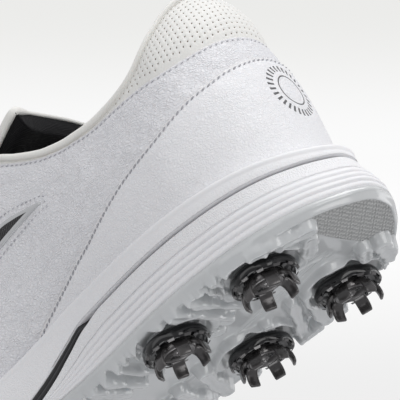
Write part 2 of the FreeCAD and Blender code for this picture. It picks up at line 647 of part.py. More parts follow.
# inside of the heel: stiffener, padding, lining
D1 = -LEATHER - GAP
feature("heel_stiffener", panel(shared(-5.2, 5.2), 0.02, lambda u: 0.44 - 0.004 * u * u, D1 - size("stiffener"), D1, 6))
D2 = D1 - size("stiffener") - GAP
feature("collar_foam", panel(shared(-5.9, 5.9), 0.50, 0.965,
                             lambda u, t: D1 - 0.6 - size("collar_foam") * math.sin(math.pi * (0.12 + 0.78 * t)),
                             D1, 7))


def lining_off(u, t):
    v = 0.03 + 0.942 * t
    bump = 0.0
    if 0.44 < v:
        bump = size("collar_foam") * math.sin(math.pi * max(0.0, min(1.0, (v - 0.44) / 0.56)))
    fade = min(max((6.4 - abs(u)) / 0.6, 0.0), 1.0)
    base = D2
    return base - 0.75 - bump * fade


feature("quarter_lining", panel(shared(-6.4, 6.4), 0.03, 0.972,
                                lambda u, t: lining_off(u, t) - size("lining"), lining_off, 9))
feature("collar_binding", panel(shared(-6.0, 6.0), 0.984, 1.0, lambda u, t: -6.4, lambda u, t: 0.9, 3))
feature("vamp_lining_medial", panel(shared(6.6, 9.96), 0.04, 0.965, D1 - 1.0, D1 - 0.3, 6))
feature("vamp_lining_lateral", panel(shared(-6.6, -9.96), 0.04, 0.965, D1 - 1.0, D1 - 0.3, 6))
feature("toe_puff", arch(shared(12.0, 13.6), D1 - 1.8, D1 - 1.0, 7))
feature("toe_lining", arch(shared(10.6, 13.4), D1 - 3.6, D1 - 2.8, 7, 0.14))

# --------------------------------------------------------------------- tongue
def tongue_row(u, depth, thick):
    """Arch under the lacing gap at column u: points from medial to lateral."""
    pts = []
    for side in (1, -1):
        lo = 0.74 if u > 7.3 else 0.80
        vs = [lo, lo + (0.985 - lo) * 0.33, lo + (0.985 - lo) * 0.66, 0.985]
        seq = vs if side == 1 else list(reversed(vs))
        for v in seq:
            pts.append(layer(side * u, v, -depth))
    a, b = pts[3], pts[4]
    mid = (a + b) * 0.5
    crown = Vector(mid.x, mid.y, mid.z + 0.12 * (a - b).Length)
    pts.insert(4, crown)
    return pts


def tongue_sections(depth, thick):
    rows = []
    for u in (10.3, 9.9, 9.4, 8.9, 8.4, 7.9, 7.4, 7.0):
        if u > 9.96:
            base = [layer(u * s, v, -depth - 1.6) for s, v in
                    ((1, 0.82), (1, 0.88), (1, 0.94), (1, 0.98))]
            other = [layer(u * s, v, -depth - 1.6) for s, v in
                     ((-1, 0.98), (-1, 0.94), (-1, 0.88), (-1, 0.82))]
            mid = (base[-1] + other[0]) * 0.5
            rows.append(base + [Vector(mid.x, mid.y, mid.z + 0.2)] + other)
        else:
            rows.append(tongue_row(u, depth, thick))
    for xc, zc, half, sag in ((-33.5, 104.6, 16.5, 5.4), (-43.0, 107.6, 17.0, 4.2), (-51.0, 109.2, 17.5, 3.0)):
        rows.append([Vector(xc - (1.5 * abs(y) if xc < -45 else 0.0), -half * y,
                            zc - sag * abs(y) ** 2.2) for y in (-1, -0.8, -0.55, -0.27, 0, 0.27, 0.55, 0.8, 1)])
    return rows


def sheet_solid(rows, thick, base_off=0.0):
    """Thickened sheet: rows of points pushed along the sheet's normal."""
    wires = ([], [])
    n = len(rows)
    for i, r in enumerate(rows):
        nxt = rows[min(i + 1, n - 1)]
        prv = rows[max(i - 1, 0)]
        outer, inner = [], []
        for j, p in enumerate(r):
            dj = r[min(j + 1, len(r) - 1)] - r[max(j - 1, 0)]
            di = nxt[j] - prv[j]
            nm = di.cross(dj)
            nm.normalize()
            if nm.z < 0:
                nm = nm.negative()
            outer.append(p - nm * base_off)
            inner.append(p - nm * (base_off + thick))
        wires[0].append(outer)
        wires[1].append(inner)
    return grid_solid(*wires)


T = tongue_sections(3.4, 1.0)
feature("tongue_face", sheet_solid(T, 1.1))
feature("tongue_foam", sheet_solid(T[1:], 3.0, 1.9))
feature("tongue_lining", sheet_solid(T[1:], 0.8, 6.0))

# ---------------------------------------------------------------------- laces
def lace_row(u):
    lw, lt = size("lace_width"), size("lace_thick")
    m = [layer(u, v, GAP + size("overlay") + 1.7) for v in (0.87, 0.93, 0.985)]
    l = [layer(-u, v, GAP + size("overlay") + 1.7) for v in (0.985, 0.93, 0.87)]
    mid = (m[-1] + l[0]) * 0.5
    crown = Vector(mid.x, mid.y, mid.z + 0.16 * (m[-1] - l[0]).Length)
    path = m + [crown] + l
    c = Part.BSplineCurve()
    c.interpolate(path)
    secs = []
    n = 13
    along = (skin(u - 0.4, 0.95) - skin(u + 0.4, 0.95))
    along.normalize()
    for i in range(n):
        prm = c.FirstParameter + (c.LastParameter - c.FirstParameter) * i / (n - 1.0)
        p = c.value(prm)
        tdir = c.tangent(prm)[0]
        up = along.cross(tdir)
        up.normalize()
        if up.z < 0:
            up = up.negative()
        side = tdir.cross(up)
        side.normalize()
        q = [p + side * (lw / 2), p + side * (lw / 2) + up * lt, p - side * (lw / 2) + up * lt, p - side * (lw / 2)]
        secs.append(Part.makePolygon(q + [q[0]]))
    return Part.makeLoft(secs, True, False)


feature("lace", Part.makeCompound([lace_row(u) for u in (9.35, 8.87, 8.39, 7.91, 7.43, 6.95)]))

# --------------------------------------------------------------------- checks
doc.recompute()
bad = []
for o in doc.Objects:
    if any(s in ("Invalid", "Error") for s in o.State):
        bad.append((o.Name, o.State))
for name, o in NODES:
    sh = o.Shape
    if sh.isNull() or not sh.isValid() or sh.Volume <= 0:
        bad.append((name, "shape", sh.isNull(), None if sh.isNull() else sh.isValid(),
                    None if sh.isNull() else sh.Volume))
if bad:
    raise SystemExit("bad objects: %s" % bad)
for name, o in NODES:
    o.Shape.exportStep("parts/%s.step" % name)
print(len(NODES), "nodes")
for name, o in NODES:
    bb = o.Shape.BoundBox
    print("%-28s vol %9.1f solids %d  x %.1f..%.1f y %.1f..%.1f z %.1f..%.1f" % (
        name, o.Shape.Volume, len(o.Shape.Solids), bb.XMin, bb.XMax, bb.YMin, bb.YMax, bb.ZMin, bb.ZMax))
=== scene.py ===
import math
import bpy
import bmesh
import numpy as np
from mathutils import Matrix, Vector


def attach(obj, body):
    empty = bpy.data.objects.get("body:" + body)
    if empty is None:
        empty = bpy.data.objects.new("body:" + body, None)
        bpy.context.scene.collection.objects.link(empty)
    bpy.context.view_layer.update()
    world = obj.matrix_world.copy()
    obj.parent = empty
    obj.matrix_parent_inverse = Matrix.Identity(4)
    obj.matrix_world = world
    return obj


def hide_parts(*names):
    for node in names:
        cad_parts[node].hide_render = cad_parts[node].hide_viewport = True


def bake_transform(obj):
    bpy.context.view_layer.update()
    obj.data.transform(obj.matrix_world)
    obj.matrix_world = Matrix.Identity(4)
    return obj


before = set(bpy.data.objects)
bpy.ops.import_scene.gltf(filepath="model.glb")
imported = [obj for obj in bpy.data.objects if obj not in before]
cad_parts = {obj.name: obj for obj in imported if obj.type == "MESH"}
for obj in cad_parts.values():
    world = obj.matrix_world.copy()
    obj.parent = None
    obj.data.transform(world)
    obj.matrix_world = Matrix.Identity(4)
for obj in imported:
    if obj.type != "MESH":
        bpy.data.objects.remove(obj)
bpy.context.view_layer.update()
MM = 0.001
SCENE = bpy.context.scene


# ---------------------------------------------------------------- maths
def spline(xs, ys):
    n = len(xs)
    hh = [xs[i + 1] - xs[i] for i in range(n - 1)]
    al = [0.0] * n
    for i in range(1, n - 1):
        al[i] = 3.0 * ((ys[i + 1] - ys[i]) / hh[i] - (ys[i] - ys[i - 1]) / hh[i - 1])
    lo, mu, zz = [1.0] * n, [0.0] * n, [0.0] * n
    for i in range(1, n - 1):
        lo[i] = 2.0 * (xs[i + 1] - xs[i - 1]) - hh[i - 1] * mu[i - 1]
        mu[i] = hh[i] / lo[i]
        zz[i] = (al[i] - hh[i - 1] * zz[i - 1]) / lo[i]
    cc, bb, dd = [0.0] * n, [0.0] * n, [0.0] * n
    for j in range(n - 2, -1, -1):
        cc[j] = zz[j] - mu[j] * cc[j + 1]
        bb[j] = (ys[j + 1] - ys[j]) / hh[j] - hh[j] * (cc[j + 1] + 2.0 * cc[j]) / 3.0
        dd[j] = (cc[j + 1] - cc[j]) / (3.0 * hh[j])
    X, Y, B, C, D = map(np.array, (xs, ys, bb, cc, dd))
    X = X.astype(float)

    def at(x):
        x = np.asarray(x, float)
        k = np.clip(np.searchsorted(X, x, side="left") - 1, 0, n - 2)
        t = x - X[k]
        v = Y[k] + t * (B[k] + t * (C[k] + t * D[k]))
        e = hh[-1]
        s1 = bb[n - 2] + 2.0 * cc[n - 2] * e + 3.0 * dd[n - 2] * e * e
        v = np.where(x <= X[0], Y[0] + bb[0] * (x - X[0]), v)
        return np.where(x >= X[-1], Y[-1] + s1 * (x - X[-1]), v)

    return at


def pchip(xs, ys):
    n = len(xs)
    dl = [(ys[i + 1] - ys[i]) / (xs[i + 1] - xs[i]) for i in range(n - 1)]
    m = [dl[0]] + [0.0] * (n - 2) + [dl[-1]]
    for i in range(1, n - 1):
        if dl[i - 1] * dl[i] > 0:
            w1 = 2 * (xs[i + 1] - xs[i]) + (xs[i] - xs[i - 1])
            w2 = (xs[i + 1] - xs[i]) + 2 * (xs[i] - xs[i - 1])
            m[i] = (w1 + w2) / (w1 / dl[i - 1] + w2 / dl[i])
    X, Y, M = np.array(xs, float), np.array(ys, float), np.array(m, float)

    def at(x):
        x = np.clip(np.asarray(x, float), X[0], X[-1])
        k = np.clip(np.searchsorted(X, x, side="left") - 1, 0, n - 2)
        h = X[k + 1] - X[k]
        t = (x - X[k]) / h
        return ((2 * t ** 3 - 3 * t ** 2 + 1) * Y[k] + (t ** 3 - 2 * t ** 2 + t) * h * M[k]
                + (-2 * t ** 3 + 3 * t ** 2) * Y[k + 1] + (t ** 3 - t ** 2) * h * M[k + 1])

    return at


def smooth(a, b, x):
    t = np.clip((np.asarray(x, float) - a) / (b - a), 0.0, 1.0)
    return t * t * (3 - 2 * t)


def norm(v):
    return v / np.maximum(np.linalg.norm(v, axis=-1, keepdims=True), 1e-12)


# ------------------------------------------------- the shoe's own curves, mm
OUTLINE = [
    (-148.2, 1.5), (-148.6, 8.5), (-145.0, 17.2), (-139.0, 24.8), (-129.5, 31.2),
    (-116.0, 35.2), (-99.0, 36.5), (-80.0, 35.1), (-60.0, 31.2), (-40.0, 27.9),
    (-20.0, 27.4), (0.0, 30.8), (20.0, 38.2), (40.0, 46.2), (60.0, 51.6),
    (80.0, 53.5), (100.0, 52.2), (116.0, 48.2), (130.0, 41.6), (140.5, 32.0),
    (147.0, 20.5), (150.0, 7.5), (149.0, -5.0), (144.0, -16.5), (133.5, -28.6),
    (118.0, -39.8), (100.0, -47.4), (80.0, -52.0), (60.0, -53.5), (40.0, -52.1),
    (20.0, -48.2), (0.0, -43.6), (-20.0, -40.0), (-40.0, -37.6), (-60.0, -36.6),
    (-80.0, -36.4), (-99.0, -36.2), (-110.0, -34.6), (-121.5, -30.4), (-131.0, -24.0),
    (-138.0, -17.0), (-143.0, -10.0), (-146.8, -3.5),
]


lip_top = pchip([-152, -135, -115, -90, -50, -30, -10, 15, 50, 90, 125, 152],
                [33.0, 34.4, 35.3, 35.9, 36.6, 34.6, 31.9, 29.7, 28.2, 28.2, 30.6, 34.0])
out_low = pchip([-150, -143, -125, -60, 0, 60, 100, 130, 150],
                [12.6, 11.7, 11.2, 11.2, 10.9, 10.2, 11.0, 14.6, 19.0])
upper_low = pchip([-152, -60, -50, -40, -30, -22, -10, 6, 20],
                  [29.6, 29.6, 29.3, 26.6, 23.2, 20.6, 17.3, 15.1, 14.5])
lower_top = pchip([-152, -60, -50, -40, -30, -22, -14, -8, 0],
                  [28.4, 28.4, 27.6, 24.2, 20.2, 17.5, 15.2, 14.35, 14.0])


heel_taper = pchip([-153, -140, -128, -112, -95], [4.8, 4.4, 2.6, 0.8, 0.0])


def out_top(x):
    return out_low(x) + 2.9


def carrier_low(x):
    x = np.asarray(x, float)
    t = np.clip((x + 10.0) / 30.0, 0.0, 1.0)
    mid = upper_low(x) * (1 - t) + (out_top(x) + 0.1) * t
    return np.where(x >= 20, out_top(x) + 0.1, np.where(x > -10, mid, upper_low(x)))


MEDIAL = [
    ((-132.6, 1.2, 30.5), (-135.4, 1.6, 54), (-132.4, 1.6, 84), (-124.0, 1.6, 104)),
    ((-130.2, 14.2, 30.5), (-133.2, 16.4, 54), (-129.9, 13.9, 83), (-122.6, 11.2, 102.6)),
    ((-122.6, 24.0, 30.7), (-124.8, 27.6, 54), (-122.0, 24.2, 79), (-116.8, 20.8, 97.2)),
    ((-111.4, 30.4, 31.0), (-112.2, 34.4, 53), (-110.8, 31.2, 72), (-107.6, 27.8, 87.4)),
    ((-96.0, 32.6, 31.4), (-96.2, 36.8, 52), (-95.2, 32.9, 67), (-93.2, 29.4, 80.3)),
    ((-71.0, 29.6, 32.2), (-71.2, 34.4, 52), (-71.0, 31.4, 68), (-71.0, 28.2, 81.8)),
    ((-44.0, 23.6, 31.0), (-44.0, 31.0, 54), (-45.0, 30.8, 78), (-47.0, 26.0, 94.5)),
    ((-16.0, 22.8, 27.4), (-15.0, 33.0, 54), (-18.0, 33.0, 82), (-24.0, 23.0, 99)),
    ((12.0, 31.0, 24.6), (13.0, 40.5, 50), (12.0, 34.5, 78), (8.0, 19.5, 89)),
    ((38.0, 41.6, 23.1), (39.0, 48.5, 46), (41.0, 33.0, 72), (42.0, 15.5, 76)),
    ((66.0, 48.6, 22.5), (66.0, 53.5, 45), (66.0, 31.0, 67.5), (66.0, 0, 68)),
    ((92.0, 49.4, 22.7), (92.0, 53.4, 42), (92.0, 31.0, 60.5), (92.0, 0, 61)),
    ((113.0, 45.6, 24.0), (114.0, 50.0, 41), (113.0, 29.0, 55), (113.0, 1.5, 55.5)),
    ((129.0, 38.4, 25.6), (132.8, 42.0, 37.5), (136.0, 24.0, 47), (136.0, 4, 47.5)),
    ((139.0, 29.0, 27.2), (143.0, 24.4, 28.0), (146.0, 16.0, 28.6), (146.4, 7, 28.9)),
]
LATERAL = [
    ((-132.6, 1.2, 30.5), (-135.4, 1.6, 54), (-132.4, 1.6, 84), (-124.0, 1.6, 104)),
    ((-129.3, -10.9, 30.5), (-132.2, -12.9, 54), (-128.9, -10.5, 83), (-121.8, -8.2, 102.2)),
    ((-121.2, -20.8, 30.7), (-123.5, -24.2, 54), (-120.6, -20.6, 79), (-115.1, -16.7, 96.5)),
    ((-112.8, -27.6, 31.0), (-113.7, -31.5, 53), (-112.3, -28.2, 72.5), (-108.4, -24.7, 87.6)),
    ((-96.0, -32.6, 31.4), (-96.2, -36.8, 52), (-95.2, -32.9, 67), (-93.2, -29.4, 79.2)),
    ((-71.0, -32.8, 32.2), (-71.2, -37.0, 52), (-71.0, -33.0, 67), (-71.0, -29.2, 79.8)),
    ((-44.0, -33.6, 31.0), (-44.0, -38.6, 53), (-45.0, -35.4, 76), (-47.0, -27.6, 92.4)),
    ((-16.0, -36.2, 27.4), (-15.0, -41.6, 53), (-18.0, -37.2, 80), (-24.0, -24.5, 98)),
    ((12.0, -42.2, 24.6), (13.0, -46.6, 48), (12.0, -36.8, 75), (8.0, -20.5, 88)),
    ((38.0, -47.8, 23.1), (39.0, -51.0, 43), (41.0, -33.8, 70), (42.0, -16.0, 75)),
    ((66.0, -49.4, 22.5), (66.0, -52.4, 42), (66.0, -31.0, 67), (66.0, 0, 68)),
    ((91.0, -46.8, 22.7), (91.5, -50.0, 39), (92.0, -31.0, 60), (92.0, 0, 61)),
    ((111.5, -39.4, 24.0), (113.0, -43.4, 38), (113.0, -27.0, 54.5), (113.0, 1.5, 55.5)),
    ((127.0, -29.6, 25.6), (131.0, -33.4, 36.5), (135.6, -18.0, 46.8), (136.0, 4, 47.5)),
    ((137.0, -18.6, 27.2), (142.0, -12.8, 28.0), (146.0, -3.0, 28.6), (146.4, 7, 28.9)),
]
KEYS = [float(i) for i in range(-14, 15)]
NET = [[spline(KEYS, [(LATERAL[-i] if i < 0 else MEDIAL[i])[c][d] for i in range(-14, 15)])
        for d in range(3)] for c in range(4)]
RIDGE_Y = pchip(KEYS, [(LATERAL[-i] if i < 0 else MEDIAL[i])[3][1] for i in range(-14, 15)])


def columns(us):
    """Control points of the columns us: (n, 4, 3)."""
    us = np.asarray(us, float)
    out = np.empty(us.shape + (4, 3))
    for c in range(4):
        for d in range(3):
            out[..., c, d] = NET[c][d](us)
    out[..., 3, 1] = RIDGE_Y(us)
    for d in (0, 2):
        both = 0.5 * (NET[3][d](us) + NET[3][d](-us))
        out[..., 3, d] = np.where(np.abs(us) > 10.0, both, out[..., 3, d])
    return out


def skin(us, vs):
    """Outer leather surface in mm: us (n,), vs (n, m) -> (n, m, 3)."""
    us = np.asarray(us, float)
    vs = np.asarray(vs, float)
    if vs.ndim == 1:
        vs = np.broadcast_to(vs, (len(us), len(vs)))
    P = columns(us)
    w = 1 - vs
    b = np.stack([w ** 3, 3 * w * w * vs, 3 * w * vs * vs, vs ** 3], -1)
    return np.einsum("nmc,ncd->nmd", b, P)


def skin_normal(us, vs):
    us = np.asarray(us, float)
    vs = np.asarray(vs, float)
    if vs.ndim == 1:
        vs = np.broadcast_to(vs, (len(us), len(vs)))
    e = 0.02
    du = skin(us + e, vs) - skin(us - e, vs)
    dv = skin(us, np.minimum(vs + 0.01, 1.0)) - skin(us, np.maximum(vs - 0.01, 0.0))
    return -norm(np.cross(du, dv))


def layer(us, vs, off):
    p = skin(us, vs)
    off = np.asarray(off, float)
    if off.ndim == 2:
        off = off[..., None]
    return p + skin_normal(us, vs) * off


SPIKES = [("heel_medial", -110.0, 21.0), ("heel_lateral", -110.0, -21.0),
          ("waist_medial", -72.1, 21.0), ("waist_lateral", -72.1, -21.0),
          ("ball_medial", 36.0, 29.0), ("ball_lateral", 32.0, -33.0),
          ("toe_medial", 84.0, 32.0), ("toe_lateral", 78.0, -31.0)]
seam_v = pchip([0, 1, 2, 3, 4, 5, 6, 6.6], [0.68, 0.68, 0.698, 0.80, 0.90, 0.92, 0.922, 0.922])
counter_v = pchip([0, 0.5, 1, 2, 3, 4, 5, 6, 6.5],
                  [0.552, 0.547, 0.534, 0.508, 0.495, 0.453, 0.305, 0.152, 0.09])
blade_lo = pchip([5.62, 6.2, 6.8, 7.4, 8.0], [0.600, 0.520, 0.455, 0.415, 0.395])
blade_hi = pchip([5.62, 6.2, 6.8, 7.4, 8.0], [0.618, 0.600, 0.555, 0.490, 0.415])
blade_in_lo = pchip([5.80, 6.2, 6.8, 7.4, 7.8], [0.588, 0.538, 0.475, 0.433, 0.412])
blade_in_hi = pchip([5.80, 6.2, 6.8, 7.4, 7.8], [0.600, 0.583, 0.537, 0.474, 0.428])


# ---------------------------------------------------------------- mesh helpers
PIECES = []


def make(name, V, polys, mats, body="shoe", uv=None, smooth_shade=True, attrs=None):
    """A mesh piece from points in mm, lists of polygons, and a material per list."""
    me = bpy.data.meshes.new(name)
    V = np.asarray(V, float) * MM
    me.vertices.add(len(V))
    me.vertices.foreach_set("co", V.astype(np.float32).ravel())
    keep = [(np.asarray(p, np.int64), i) for i, p in enumerate(polys) if len(p)]
    loops = np.concatenate([p.ravel() for p, _ in keep])
    sizes = np.concatenate([np.full(len(p), p.shape[1]) for p, _ in keep])
    index = np.concatenate([np.full(len(p), i) for p, i in keep])
    starts = np.concatenate([[0], np.cumsum(sizes)[:-1]])
    me.loops.add(len(loops))
    me.loops.foreach_set("vertex_index", loops.astype(np.int32))
    me.polygons.add(len(sizes))
    me.polygons.foreach_set("loop_start", starts.astype(np.int32))
    me.update(calc_edges=True)
    me.polygons.foreach_set("use_smooth", np.full(len(sizes), smooth_shade))
    if not isinstance(mats, (list, tuple)):
        mats = [mats]
    for m in mats:
        me.materials.append(m)
    if len(mats) > 1:
        me.polygons.foreach_set("material_index", np.minimum(index, len(mats) - 1).astype(np.int32))
    if uv is not None:
        lay = me.uv_layers.new(name="map")
        lay.data.foreach_set("uv", np.asarray(uv, np.float32)[loops].ravel())
    for key, val in (attrs or {}).items():
        a = me.attributes.new(key, "FLOAT", "POINT")
        a.data.foreach_set("value", np.asarray(val, np.float32))
    me.validate()
    me.update()
    ob = bpy.data.objects.new(name, me)
    SCENE.collection.objects.link(ob)
    if body:
        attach(ob, body)
    PIECES.append(ob)
    return ob


def quads(n, m, base=0, wrap_n=False, wrap_m=False, flip=False):
    """Quads of an n x m grid of points."""
    i = np.arange(n if wrap_n else n - 1)
    j = np.arange(m if wrap_m else m - 1)
    I, J = np.meshgrid(i, j, indexing="ij")
    a = I * m + J
    b = ((I + 1) % n) * m + J
    c = ((I + 1) % n) * m + (J + 1) % m
    d = I * m + (J + 1) % m
    q = np.stack([a, b, c, d], -1).reshape(-1, 4) + base
    return q[:, ::-1] if flip else q


def shell(outer, inner, wrap_n=False):
    """Closed sheet between two n x m grids: points, outer faces, inner faces, rim faces."""
    n, m = outer.shape[:2]
    V = np.concatenate([outer.reshape(-1, 3), inner.reshape(-1, 3)])
    base = n * m
    out = quads(n, m, 0, wrap_n)
    inn = quads(n, m, base, wrap_n, flip=True)
    rim = []
    ii = np.arange(n if wrap_n else n - 1)
    i2 = (ii + 1) % n
    for j, fl in ((0, False), (m - 1, True)):
        a, b = ii * m + j, i2 * m + j
        q = np.stack([b, a, a + base, b + base], -1)
        rim.append(q[:, ::-1] if fl else q)
    if not wrap_n:
        jj = np.arange(m - 1)
        for i, fl in ((0, True), (n - 1, False)):
            a, b = i * m + jj, i * m + jj + 1
            q = np.stack([b, a, a + base, b + base], -1)
            rim.append(q[:, ::-1] if fl else q)
    return V, out, inn, np.concatenate(rim)


def graded(us, vlo, vhi, step=1.2, edge=1.0, steps_edge=4):
    """v values for each column: fine by both borders. Returns v (n, m) and mm from each border."""
    us = np.asarray(us, float)
    probe = np.linspace(0, 1, 24)
    vv = vlo[:, None] + (vhi - vlo)[:, None] * probe
    p = skin(us, vv)
    seg = np.linalg.norm(np.diff(p, axis=1), axis=2)
    cum = np.concatenate([np.zeros((len(us), 1)), np.cumsum(seg, 1)], 1)
    length = cum[:, -1]
    e = np.linspace(0, 1, steps_edge + 1)[:-1] ** 1.3 * edge
    k = max(3, int(np.ceil((length.max() - 2 * edge) / step)))
    t = np.linspace(0, 1, k)
    out_v, out_s = [], []
    for i in range(len(us)):
        L = length[i]
        ee = e * min(1.0, L / (2.5 * edge))
        e1 = edge * min(1.0, L / (2.5 * edge))
        s = np.concatenate([ee, e1 + t * (L - 2 * e1), L - ee[::-1]])
        out_v.append(np.interp(s, cum[i], vv[i]))
        out_s.append(s)
    return np.array(out_v), np.array(out_s), length


def piece_on_skin(name, us, vlo, vhi, off_in, off_out, mats, edge=0.5, step=1.2, ends=(True, True),
                  borders=(True, True), puff=0.0, body="shoe", extra=None, uvfun=None, lift=None):
    """A leather piece on the foot surface, edges rolled over, puff is a crown in mm near the rims."""
    us = np.asarray(us, float)
    v, s, L = graded(us, vlo, vhi, step, max(edge * 2.2, 1.2))
    far = L[:, None] - s
    near = np.full_like(s, 1e3)
    if borders[0]:
        near = np.minimum(near, s)
    if borders[1]:
        near = np.minimum(near, far)
    mid = skin(us, v)
    du = np.linalg.norm(np.diff(mid[:, mid.shape[1] // 2], axis=0), axis=1)
    along = np.concatenate([[0], np.cumsum(du)])
    if ends[0]:
        near = np.minimum(near, np.broadcast_to(along[:, None], near.shape))
    if ends[1]:
        near = np.minimum(near, np.broadcast_to((along[-1] - along)[:, None], near.shape))
    r = edge
    fall = np.where(near < r, r - np.sqrt(np.maximum(r * r - (r - near) ** 2, 0)), 0.0)
    crown = puff * (1 - np.exp(-near / 2.2)) if puff else 0.0
    oo = off_out - fall + crown
    if extra is not None:
        oo = oo + extra(us, v, s, far, near)
    outer = layer(us, v, oo)
    inner = layer(us, v, np.full_like(v, off_in))
    if lift is not None:
        outer, inner = lift(us, v, outer), lift(us, v, inner)
    V, a, b, c = shell(outer, inner)
    uv = None
    if uvfun is not None:
        q = uvfun(us, v, s, along)
        uv = np.concatenate([q.reshape(-1, 2), q.reshape(-1, 2)])
    att = {"edge": np.concatenate([near.ravel(), np.zeros(near.size)])}
    return make(name, V, [a, np.concatenate([b, c])], mats, body, uv=uv, attrs=att)


def frames(path, up):
    """Tangent, side and up vectors along a path; up is a per-point hint."""
    path = np.asarray(path, float)
    t = np.gradient(path, axis=0)
    t = norm(t)
    up = np.broadcast_to(np.asarray(up, float), path.shape)
    side = norm(np.cross(up, t))
    upn = norm(np.cross(t, side))
    return t, side, upn


def sweep(name, path, up, profile, mats, slots, body="shoe", closed=False, scale=None, cap=True, uvscale=1.0):
    """Sweeps a closed profile (k, 2) [side, up] along a path."""
    path = np.asarray(path, float)
    n = len(path)
    if closed:
        ext = np.concatenate([path[-2:], path, path[:2]])
        upx = np.broadcast_to(np.asarray(up, float), path.shape)
        upe = np.concatenate([upx[-2:], upx, upx[:2]])
        t, sd, un = frames(ext, upe)
        t, sd, un = t[2:-2], sd[2:-2], un[2:-2]
    else:
        t, sd, un = frames(path, up)
    prof = np.asarray(profile, float)
    if prof.ndim == 2:
        prof = np.broadcast_to(prof, (n,) + prof.shape)
    if scale is not None:
        prof = prof * np.asarray(scale, float).reshape(n, 1, -1)
    k = prof.shape[1]
    V = path[:, None] + sd[:, None] * prof[..., :1] + un[:, None] * prof[..., 1:2]
    V = V.reshape(-1, 3)
    polys = [quads(n, k, 0, wrap_n=closed, wrap_m=True)]
    if not closed and cap:
        c0, c1 = path[0][None], path[-1][None]
        V = np.concatenate([V, c0, c1])
        j = np.arange(k)
        j2 = (j + 1) % k
        a = np.stack([j2, j, np.full(k, n * k)], -1)
        b = np.stack([(n - 1) * k + j, (n - 1) * k + j2, np.full(k, n * k + 1)], -1)
        polys += [a, b]
    return V, polys


def ring(k, rx, ry=None, power=1.0):
    a = np.linspace(0, 2 * np.pi, k, endpoint=False)
    ry = rx if ry is None else ry
    c, s = np.cos(a), np.sin(a)
    return np.stack([rx * np.sign(c) * np.abs(c) ** power, ry * np.sign(s) * np.abs(s) ** power], -1)


def resample(path, pitch):
    path = np.asarray(path, float)
    seg = np.linalg.norm(np.diff(path, axis=0), axis=1)
    cum = np.concatenate([[0], np.cumsum(seg)])
    n = max(2, int(round(cum[-1] / pitch)) + 1)
    s = np.linspace(0, cum[-1], n)
    return np.stack([np.interp(s, cum, path[:, d]) for d in range(path.shape[1])], -1)


def stitches(name, path, normals, mat, pitch=2.1, length=1.35, width=0.42, height=0.2, tilt=0.35, body="shoe", sink=0.05):
    """A row of thread stitches: each a small rounded capsule that dips into the leather at both ends."""
    both = resample(np.concatenate([path, normals], 1), pitch)
    p, nn = both[:, :3], norm(both[:, 3:])
    t, sd, un = frames(p, nn)
    c, s_ = math.cos(tilt), math.sin(tilt)
    d = t * c + sd * s_
    w = norm(np.cross(un, d))
    ks = np.linspace(-1, 1, 7)
    a = np.linspace(0, 2 * np.pi, 6, endpoint=False)
    V, F = [], []
    rad = np.sqrt(np.maximum(1 - np.abs(ks) ** 2.6, 0.03))
    lift_ = (1 - ks ** 2) * height - sink
    base = 0
    n, k, m = len(p), len(ks), len(a)
    grid = (p[:, None, None]
            + d[:, None, None] * (ks * length / 2)[None, :, None, None]
            + w[:, None, None] * (rad[:, None] * np.cos(a) * width / 2)[None, ..., None]
            + un[:, None, None] * (lift_[:, None] + rad[:, None] * np.sin(a) * width / 2)[None, ..., None])
    V = grid.reshape(-1, 3)
    one = quads(k, m, 0, wrap_m=True)
    F = (one[None] + (np.arange(n) * k * m)[:, None, None]).reshape(-1, 4)
    caps = []
    for j, fl in ((0, True), (k - 1, False)):
        f = j * m + np.arange(m)
        caps.append(f[::-1] if fl else f)
    caps = np.array(caps)
    C = (caps[None] + (np.arange(n) * k * m)[:, None, None]).reshape(-1, m)
    return make(name, V, [F, C], [mat], body)


